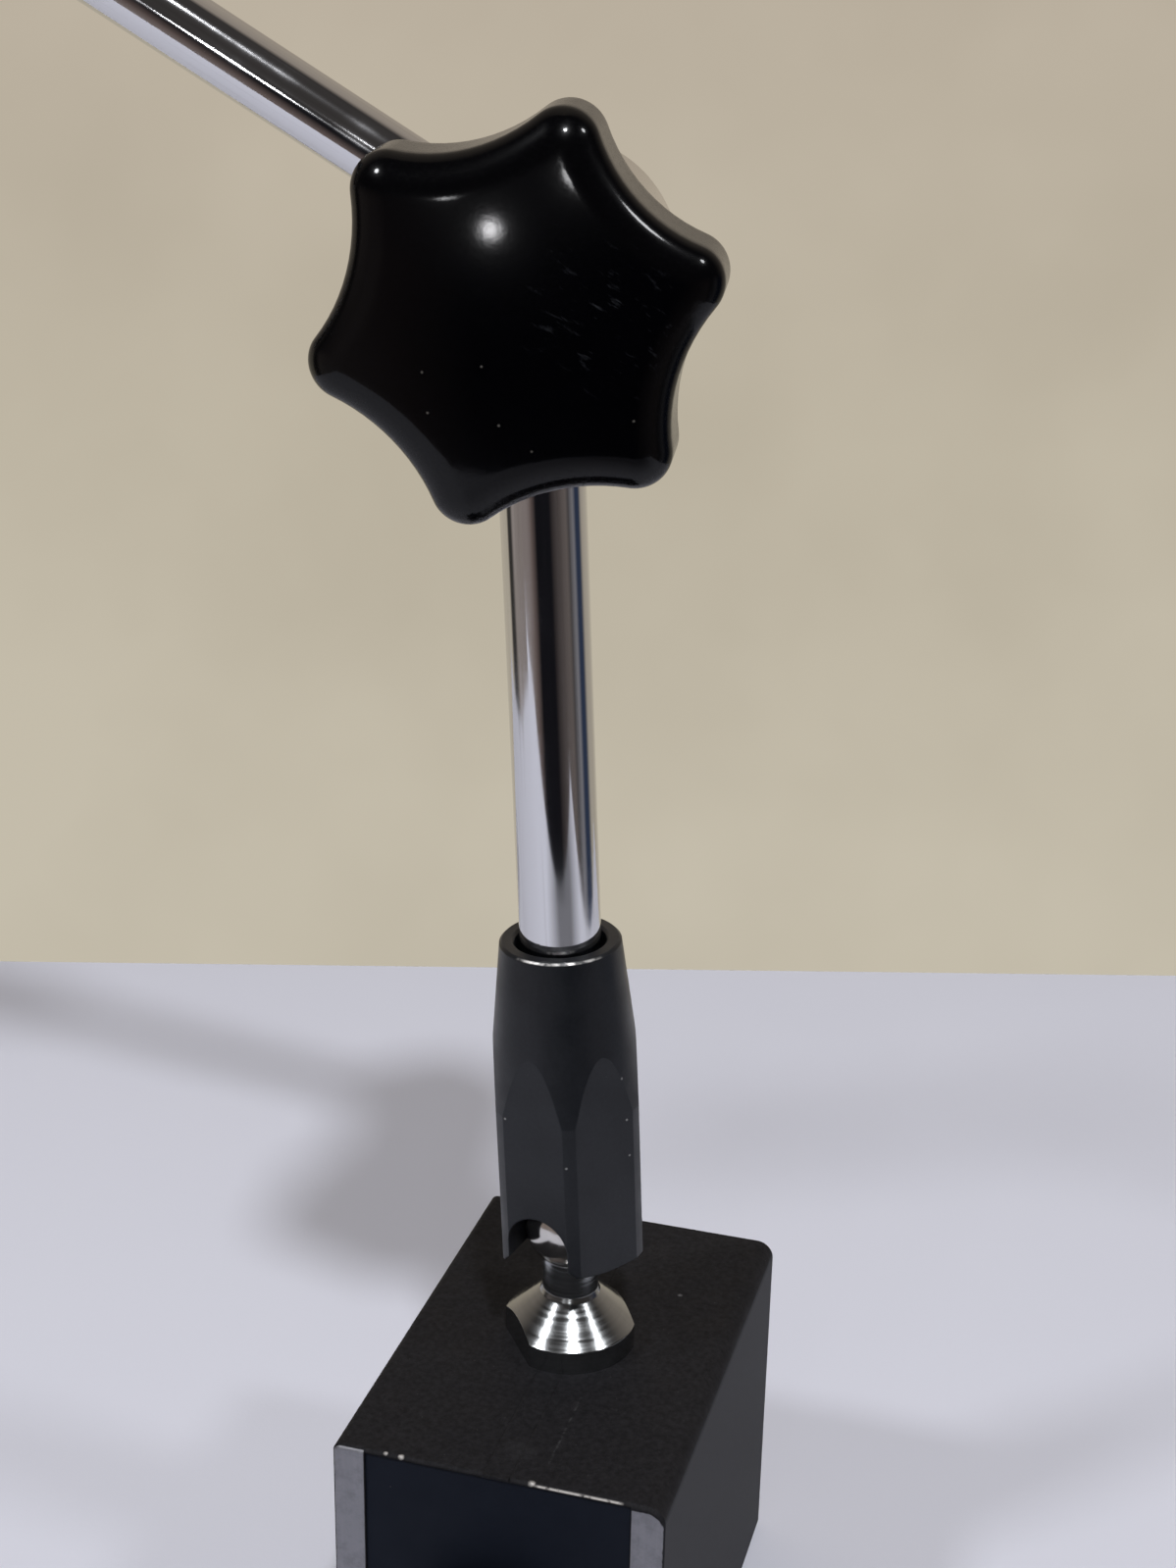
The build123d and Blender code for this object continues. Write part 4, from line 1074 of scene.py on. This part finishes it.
@dataclass
class StarKnob:
    """Moulded star knob: a flat domed face with pillowed edges, a drafted wall and a hollow back.

    Sizes are in millimetres, with heights from the knob's seat.
    """

    outline: StarOutline = field(default_factory=StarOutline)
    seat: float = 11.85
    turn: float = -18.1
    crown: float = 16.5
    dome_radius: float = 105.9
    edge_drop: float = 3.3
    draft: float = 0.8
    back_round: float = 0.7
    back_steps: int = 4
    hollow_wall: float = 3.0
    hollow_depth: float = 7.0
    hollow_round: float = 1.0
    round_share: float = 0.3
    hub: float = 9.5
    bore: float = 6.6
    bore_depth: float = 9.0
    bore_middle: float = 0.05
    wall_steps: int = 9
    face_insets: tuple[float, ...] = (0.02, 0.08, 0.18, 0.32, 0.5, 0.75, 1.05, 1.4)
    face_steps: int = 30
    smooth_angle: float = 40.0
    specks: tuple[Point2, ...] = (
        (-5.1, 1.9), (-8.0, 8.7), (-12.7, 6.8), (-11.5, -2.0), (-6.3, -17.6), (-13.5, -6.7))
    rubbed: Point2 = (4.2, -11.0)

    @property
    def rim(self) -> float:
        """How far the draft brings the face's rim inside the outline."""
        return (self.crown - self.edge_drop) * math.tan(math.radians(self.draft))

    def height(self, point: Vector, inset: float) -> float:
        """Height of the face over a point.

        Args:
            point: The point.
            inset: How far the face's rim lies inside the outline.

        Returns:
            The height in millimetres.
        """
        share = min(max((self.outline.depth(point) - inset) / self.outline.lobe, 0.0), 1.0)
        drop = self.edge_drop * (1 - math.sqrt(1 - (1 - share) ** 2))
        return self.crown - point.xy.length_squared / (2 * self.dome_radius) - drop

    def circle(self, radius: float, height: float) -> list[Vector]:
        """Round ring with as many points as the outline."""
        lift = Vector((0, 0, height))
        return [point.normalized() * radius + lift for point in self.outline.ring()]

    def inside(self, inset: float, height: float) -> list[Vector]:
        """Level ring that follows the outline, moved inward."""
        return [point + Vector((0, 0, height)) for point in self.outline.ring(inset)]

    def laid(self, ring: Iterable[Vector]) -> list[Vector]:
        """Ring of points laid on the face."""
        return [Vector((p.x, p.y, self.height(p, self.rim))) for p in ring]

    def rings(self) -> list[list[Vector]]:
        """Rings of the whole surface, from the bore's floor round the back to the face's centre.

        Returns:
            The rings.
        """
        small = self.back_round / 2
        rings = [
            self.circle(self.bore_middle, self.bore_depth), self.circle(self.bore, self.bore_depth),
            self.circle(self.bore, small), self.circle(self.bore + small, 0),
            self.circle(self.hub - small, 0), self.circle(self.hub, small), *self.hollow(),
            self.inside(self.hollow_wall, small), self.inside(self.hollow_wall - small, 0)]
        for step in range(self.back_steps + 1):
            angle = math.pi / 2 * step / self.back_steps
            rings.append(self.inside(
                self.back_round * (1 - math.sin(angle)), self.back_round * (1 - math.cos(angle))))
        rings += self.wall()
        rings += [self.laid(self.outline.ring(self.rim + inset)) for inset in self.face_insets]
        last = self.outline.ring(self.rim + self.face_insets[-1])
        for step in range(1, self.face_steps):
            # The last ring stays half a step off the centre, where the face is closed flat.
            share = 1 - step / (self.face_steps - 0.5)
            rings.append(self.laid(point * share for point in last))
        return rings

    def hollow(self) -> list[list[Vector]]:
        """Rings of the hollow, from the hub's foot to the foot of the outer wall.

        Returns:
            The rings.
        """
        floor, corner = self.hollow_depth, self.hollow_round
        part = corner * self.round_share
        return [self.circle(self.hub, floor - corner), self.circle(self.hub + part, floor - part),
                self.circle(self.hub + corner, floor),
                self.inside(self.hollow_wall + corner, floor),
                self.inside(self.hollow_wall + part, floor - part),
                self.inside(self.hollow_wall, floor - corner)]

    def wall(self) -> list[list[Vector]]:
        """Rings of the drafted wall, from the back's round to just under the face's rim.

        Returns:
            The rings.
        """
        rings = []
        foot = Vector((0, 0, self.back_round))
        for step in range(1, self.wall_steps):
            share = step / self.wall_steps
            ring = self.outline.ring(self.rim * share)
            rings.append([(point + foot).lerp(top, share)
                          for point, top in zip(ring, self.laid(ring))])
        return rings

    def build(self, knuckle: Placement) -> bpy.types.Object:
        """Make the knob.

        Args:
            knuckle: Placement of the elbow's front half.

        Returns:
            The knob.
        """
        placement = knuckle.moved(self.seat).turned(self.turn)
        *specks, rubbed = (
            placement.at(x, y, self.height(Vector((x, y, 0)), 0.0))
            for x, y in (*self.specks, self.rubbed))
        plastic = MouldedPlastic("knob_black", specks=tuple(specks), rubbed_at=rubbed).build()
        shape = Shape(placement)
        shape.loft(self.rings())
        return shape.finish("clamp_star", plastic, self.smooth_angle)


@dataclass
class Elbow(BodyWork):
    """Both knuckles, the wedges between them and the star knob."""

    def build(self) -> None:
        """Dress the elbow's nodes and build its star knob."""
        finishes = self.finishes
        self.dress(finishes.polished, "lower_knuckle", "upper_knuckle", "draw_bolt")
        self.dress(finishes.turned, "front_wedge", "rear_wedge", "elbow_washer", "knob_washer")
        self.dress(finishes.spring, "release_spring")
        self.dress(finishes.brass, "knob_insert")
        knob = StarKnob().build(self.layout.knuckle)
        self.stand_in(knob, "clamp_knob", "knob_black", "star_knob")


@dataclass
class UpperArm(BodyWork):
    """Upper tube, sleeve and ball."""

    rim: float = 41.5

    def build(self) -> None:
        """Dress the upper arm's nodes."""
        finishes, arm = self.finishes, self.layout.upper
        self.dress(SleeveSteel("upper_sleeve_slate", arm, self.rim).build(), "upper_sleeve")
        self.dress(Chrome("upper_tube_chrome", arm.axis).build(), "upper_tube")
        self.dress(finishes.polished, "upper_ball", "upper_ball_stud")
        self.dress(finishes.turned, "upper_thrust_cup", "upper_push_rod")


@dataclass
class Holder(BodyWork):
    """Fine adjustment and indicator clamp."""

    def build(self) -> None:
        """Dress the holder's nodes."""
        finishes = self.finishes
        self.dress(finishes.holder, "holder_fork", "adjust_lever", "indicator_clamp")
        self.dress(finishes.turned, "hinge_pin", "adjust_screw", "clamp_screw")
        self.dress(finishes.spring, "adjust_spring")


@dataclass(frozen=True)
class Lamp:
    """A round soft light, with its distance and width in metres and its power in watts.

    Seen from the aim, it stands so many degrees to the right of straight ahead and above the
    horizon.
    """

    name: str
    around: float
    rise: float
    distance: float
    size: float
    power: float
    tint: Colour = (0.96, 0.97, 1.0)

    def build(self, aim: Vector) -> None:
        """Make the light.

        Args:
            aim: Where it points, in metres.
        """
        turn, lift = math.radians(self.around), math.radians(self.rise)
        level = math.cos(lift)
        away = Vector((math.sin(turn) * level, -math.cos(turn) * level, math.sin(lift)))
        data = bpy.data.lights.new(self.name, "AREA")
        data.shape = "DISK"
        data.size = self.size
        data.energy = self.power
        data.color = self.tint
        made = bpy.data.objects.new(self.name, data)
        made.location = aim + away * self.distance
        made.rotation_mode = "QUATERNION"
        made.rotation_quaternion = (-away).to_track_quat("-Z", "Y")
        bpy.context.scene.collection.objects.link(made)
        LOG.info("lit %s", self.name)


@dataclass
class Studio:
    """Table, room light and camera, in metres."""

    eye: Point3 = (0.084057, -0.289649, 0.264228)
    right: Point3 = (0.95934, 0.28165, 0.018645)
    upward: Point3 = (-0.116536, 0.335039, 0.93497)
    lens: float = 52.01
    sensor: float = 36.0
    clip: Point2 = (0.01, 20.0)
    table_edge: Point3 = (-0.0813, 0.2415, 0.0)
    table_along: Point3 = (0.956, 0.292, 0.0)
    table_sides: Point2 = (-0.40, 0.335)
    table_depth: float = 0.575
    table_rough: float = 0.85
    cloth: tuple[Colour, Colour] = ((0.735, 0.75, 0.845), (0.80, 0.815, 0.91))
    # The cloth's colour varies in broad soft patches.
    cloth_patches: Cloud = Cloud(6, 3)
    weave: Relief = Relief(Cloud(1500, 2), 0.0001, 0.3)
    # Painted shadow: a dark patch on the cloth near its front right corner, seen only in
    # reflections.
    shade: Colour = (0.10, 0.10, 0.11)
    shade_share: float = 0.85
    shade_at: Point3 = (0.19, -0.29, 0.0)
    shade_reach: Point2 = (0.26, 0.10)
    wall: Colour = (0.520, 0.478, 0.378)
    around: tuple[tuple[float, Colour], ...] = (
        (-180, (0.520, 0.478, 0.378)), (-97, (0.50, 0.455, 0.36)), (-90, (0.045, 0.042, 0.038)),
        (-80, (0.045, 0.042, 0.038)), (-72, (0.30, 0.265, 0.24)), (-28, (0.25, 0.215, 0.20)),
        (-14, (0.13, 0.10, 0.09)), (-2, (0.008, 0.008, 0.010)), (33, (0.008, 0.008, 0.010)),
        (42, (0.045, 0.038, 0.037)), (78, (0.14, 0.12, 0.11)), (86, (0.07, 0.065, 0.065)),
        (100, (0.22, 0.22, 0.235)), (110, (0.03, 0.042, 0.075)), (122, (0.03, 0.042, 0.075)),
        (134, (0.40, 0.365, 0.30)), (180, (0.520, 0.478, 0.378)))
    above: tuple[tuple[float, Colour], ...] = (
        (-180, (0.42, 0.385, 0.31)), (-110, (0.34, 0.31, 0.26)), (-80, (0.05, 0.048, 0.045)),
        (110, (0.05, 0.048, 0.045)), (140, (0.34, 0.31, 0.26)), (180, (0.42, 0.385, 0.31)))
    above_from: tuple[Point2, Point2] = ((0.50, 0.0), (0.62, 1.0))
    # The room's light turns darker and warmer towards the top.
    tint: tuple[tuple[float, Colour], ...] = (
        (0.0, (1.02, 1.015, 1.03)), (0.45, (1.0, 0.985, 0.99)), (1.0, (0.95, 0.905, 0.92)))
    tint_span: Point2 = (-0.4, 0.02)
    # Painted soft shadows on the walls: how much the mottle darkens and lightens the room's light.
    mottle: tuple[tuple[float, Colour], ...] = (
        (0.0, (0.93, 0.922, 0.915)), (1.0, (1.045, 1.045, 1.05)))
    mottle_span: Point2 = (0.36, 0.64)
    painted_wall_shadows: Cloud = Cloud(4.5, 4.0, 0.5)
    aim: Point3 = (0.0, 0.0, 0.12)
    lamps: tuple[Lamp, ...] = (
        Lamp("ceiling_ahead", 26.2, 57.2, 1.7, 0.14, 15),
        Lamp("ceiling_left", -46, 47, 1.8, 0.24, 8),
        Lamp("ceiling_right", 82, 46, 1.8, 0.24, 5),
        Lamp("far_ahead", 1.0, 7.0, 2.5, 0.11, 1.9, (0.98, 0.98, 1.0)),
        Lamp("far_right", 14.0, 15.4, 2.5, 0.11, 1.1, (0.98, 0.98, 1.0)),
        Lamp("far_left", -6.6, 13.4, 2.5, 0.08, 0.6, (0.98, 0.98, 1.0)))

    def build(self) -> None:
        """Make the camera, table, room and lights."""
        self.camera()
        self.table()
        self.room()
        for lamp in self.lamps:
            lamp.build(Vector(self.aim))

    def camera(self) -> None:
        """Camera at the photograph's place."""
        data = bpy.data.cameras.new("camera")
        data.lens = self.lens
        data.sensor_width = self.sensor
        data.clip_start, data.clip_end = self.clip
        made = bpy.data.objects.new("camera", data)
        right, upward = Vector(self.right), Vector(self.upward)
        turn = Matrix((right, upward, right.cross(upward).normalized())).transposed()
        made.matrix_world = Matrix.LocRotScale(Vector(self.eye), turn, None)
        bpy.context.scene.collection.objects.link(made)
        bpy.context.scene.camera = made

    def table(self) -> None:
        """Pale table that ends behind the stand."""
        along = Vector(self.table_along).normalized()
        towards = Vector((along.y, -along.x, 0))
        left, right = self.table_sides
        corners = ((left, 0.0), (right, 0.0), (right, self.table_depth), (left, self.table_depth))
        bm = bmesh.new()
        bm.faces.new([bm.verts.new(Vector(self.table_edge) + along * side + towards * depth)
                      for side, depth in corners])
        bmesh.ops.recalc_face_normals(bm, faces=bm.faces)
        data = bpy.data.meshes.new("table")
        bm.to_mesh(data)
        bm.free()
        data.materials.append(self.table_cloth())
        made = bpy.data.objects.new("table", data)
        bpy.context.scene.collection.objects.link(made)

    def table_cloth(self) -> bpy.types.Material:
        """Make the table's finish, with a painted shadow at its near right corner that only
        reflections show.

        Returns:
            Its material.
        """
        nodes = Nodes("table_cloth")
        cloth = nodes.mix(nodes.cloud(self.cloth_patches), *self.cloth)
        # Painted shadow: darkens the cloth round shade_at; camera rays get the plain cloth, so only
        # reflections show it.
        shade = nodes.share(nodes.distance(Vector(self.shade_at)), *self.shade_reach)
        cloth_with_painted_shadow = nodes.mix(nodes.times(shade, self.shade_share), cloth, self.shade)
        rays = nodes.add("ShaderNodeLightPath").outputs["Is Camera Ray"]
        nodes.fixed({"Roughness": self.table_rough})
        nodes.fill({"Base Color": nodes.mix(rays, cloth_with_painted_shadow, cloth)})
        nodes.bump(self.weave)
        return nodes.material

    def room(self) -> None:
        """Room as gradients of the world: pale walls mottled with painted soft shadows, with a dim
        room and ceiling in mirrors.
        """
        world = bpy.data.worlds.new("room")
        bpy.context.scene.world = world
        world.use_nodes = True
        tree = Tree(world.node_tree, "Generated")
        x, y, z = tree.add("ShaderNodeSeparateXYZ", {0: tree.place}).outputs
        back = tree.add("ShaderNodeMath", {0: y, 1: -1.0}, operation="MULTIPLY").outputs[0]
        heading = tree.add("ShaderNodeMath", {0: x, 1: back}, operation="ARCTAN2").outputs[0]
        turn = tree.share(heading, -math.pi, math.pi)
        around, above = (
            tree.ramp(turn, [((degrees + 180) / 360, colour) for degrees, colour in stops])
            for stops in (self.around, self.above))
        rise = tree.ramp(tree.share(z, -1.0, 1.0), self.above_from)
        rays = tree.add("ShaderNodeLightPath").outputs["Is Camera Ray"]
        light = tree.mix(rays, tree.mix(rise, around, above), self.wall)
        # The light turns darker and warmer towards the top, and its mottle paints soft shadows on
        # the walls.
        tint = tree.ramp(tree.share(z, *self.tint_span), self.tint)
        patches = tree.share(tree.cloud(self.painted_wall_shadows), *self.mottle_span)
        mottle = tree.ramp(patches, self.mottle)
        for layer in (tint, mottle):
            inputs = {0: light, 1: layer}
            light = tree.add("ShaderNodeVectorMath", inputs, operation="MULTIPLY").outputs[0]
        background = tree.tree.nodes["Background"]
        tree.tree.links.new(light, background.inputs["Color"])
        background.inputs["Strength"].default_value = 1.0


def main() -> None:
    """Load the frame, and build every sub-assembly."""
    logging.basicConfig(level=logging.INFO)
    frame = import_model()
    bpy.context.scene.view_settings.view_transform = "Standard"
    layout = Layout.from_frame(frame["joints"])
    finishes = Wardrobe()
    for part in (MagneticBase, LowerArm, Elbow, UpperArm, Holder):
        part(layout, finishes, frame["nodes"]).build()
    Studio().build()


if __name__ == "__main__":
    main()
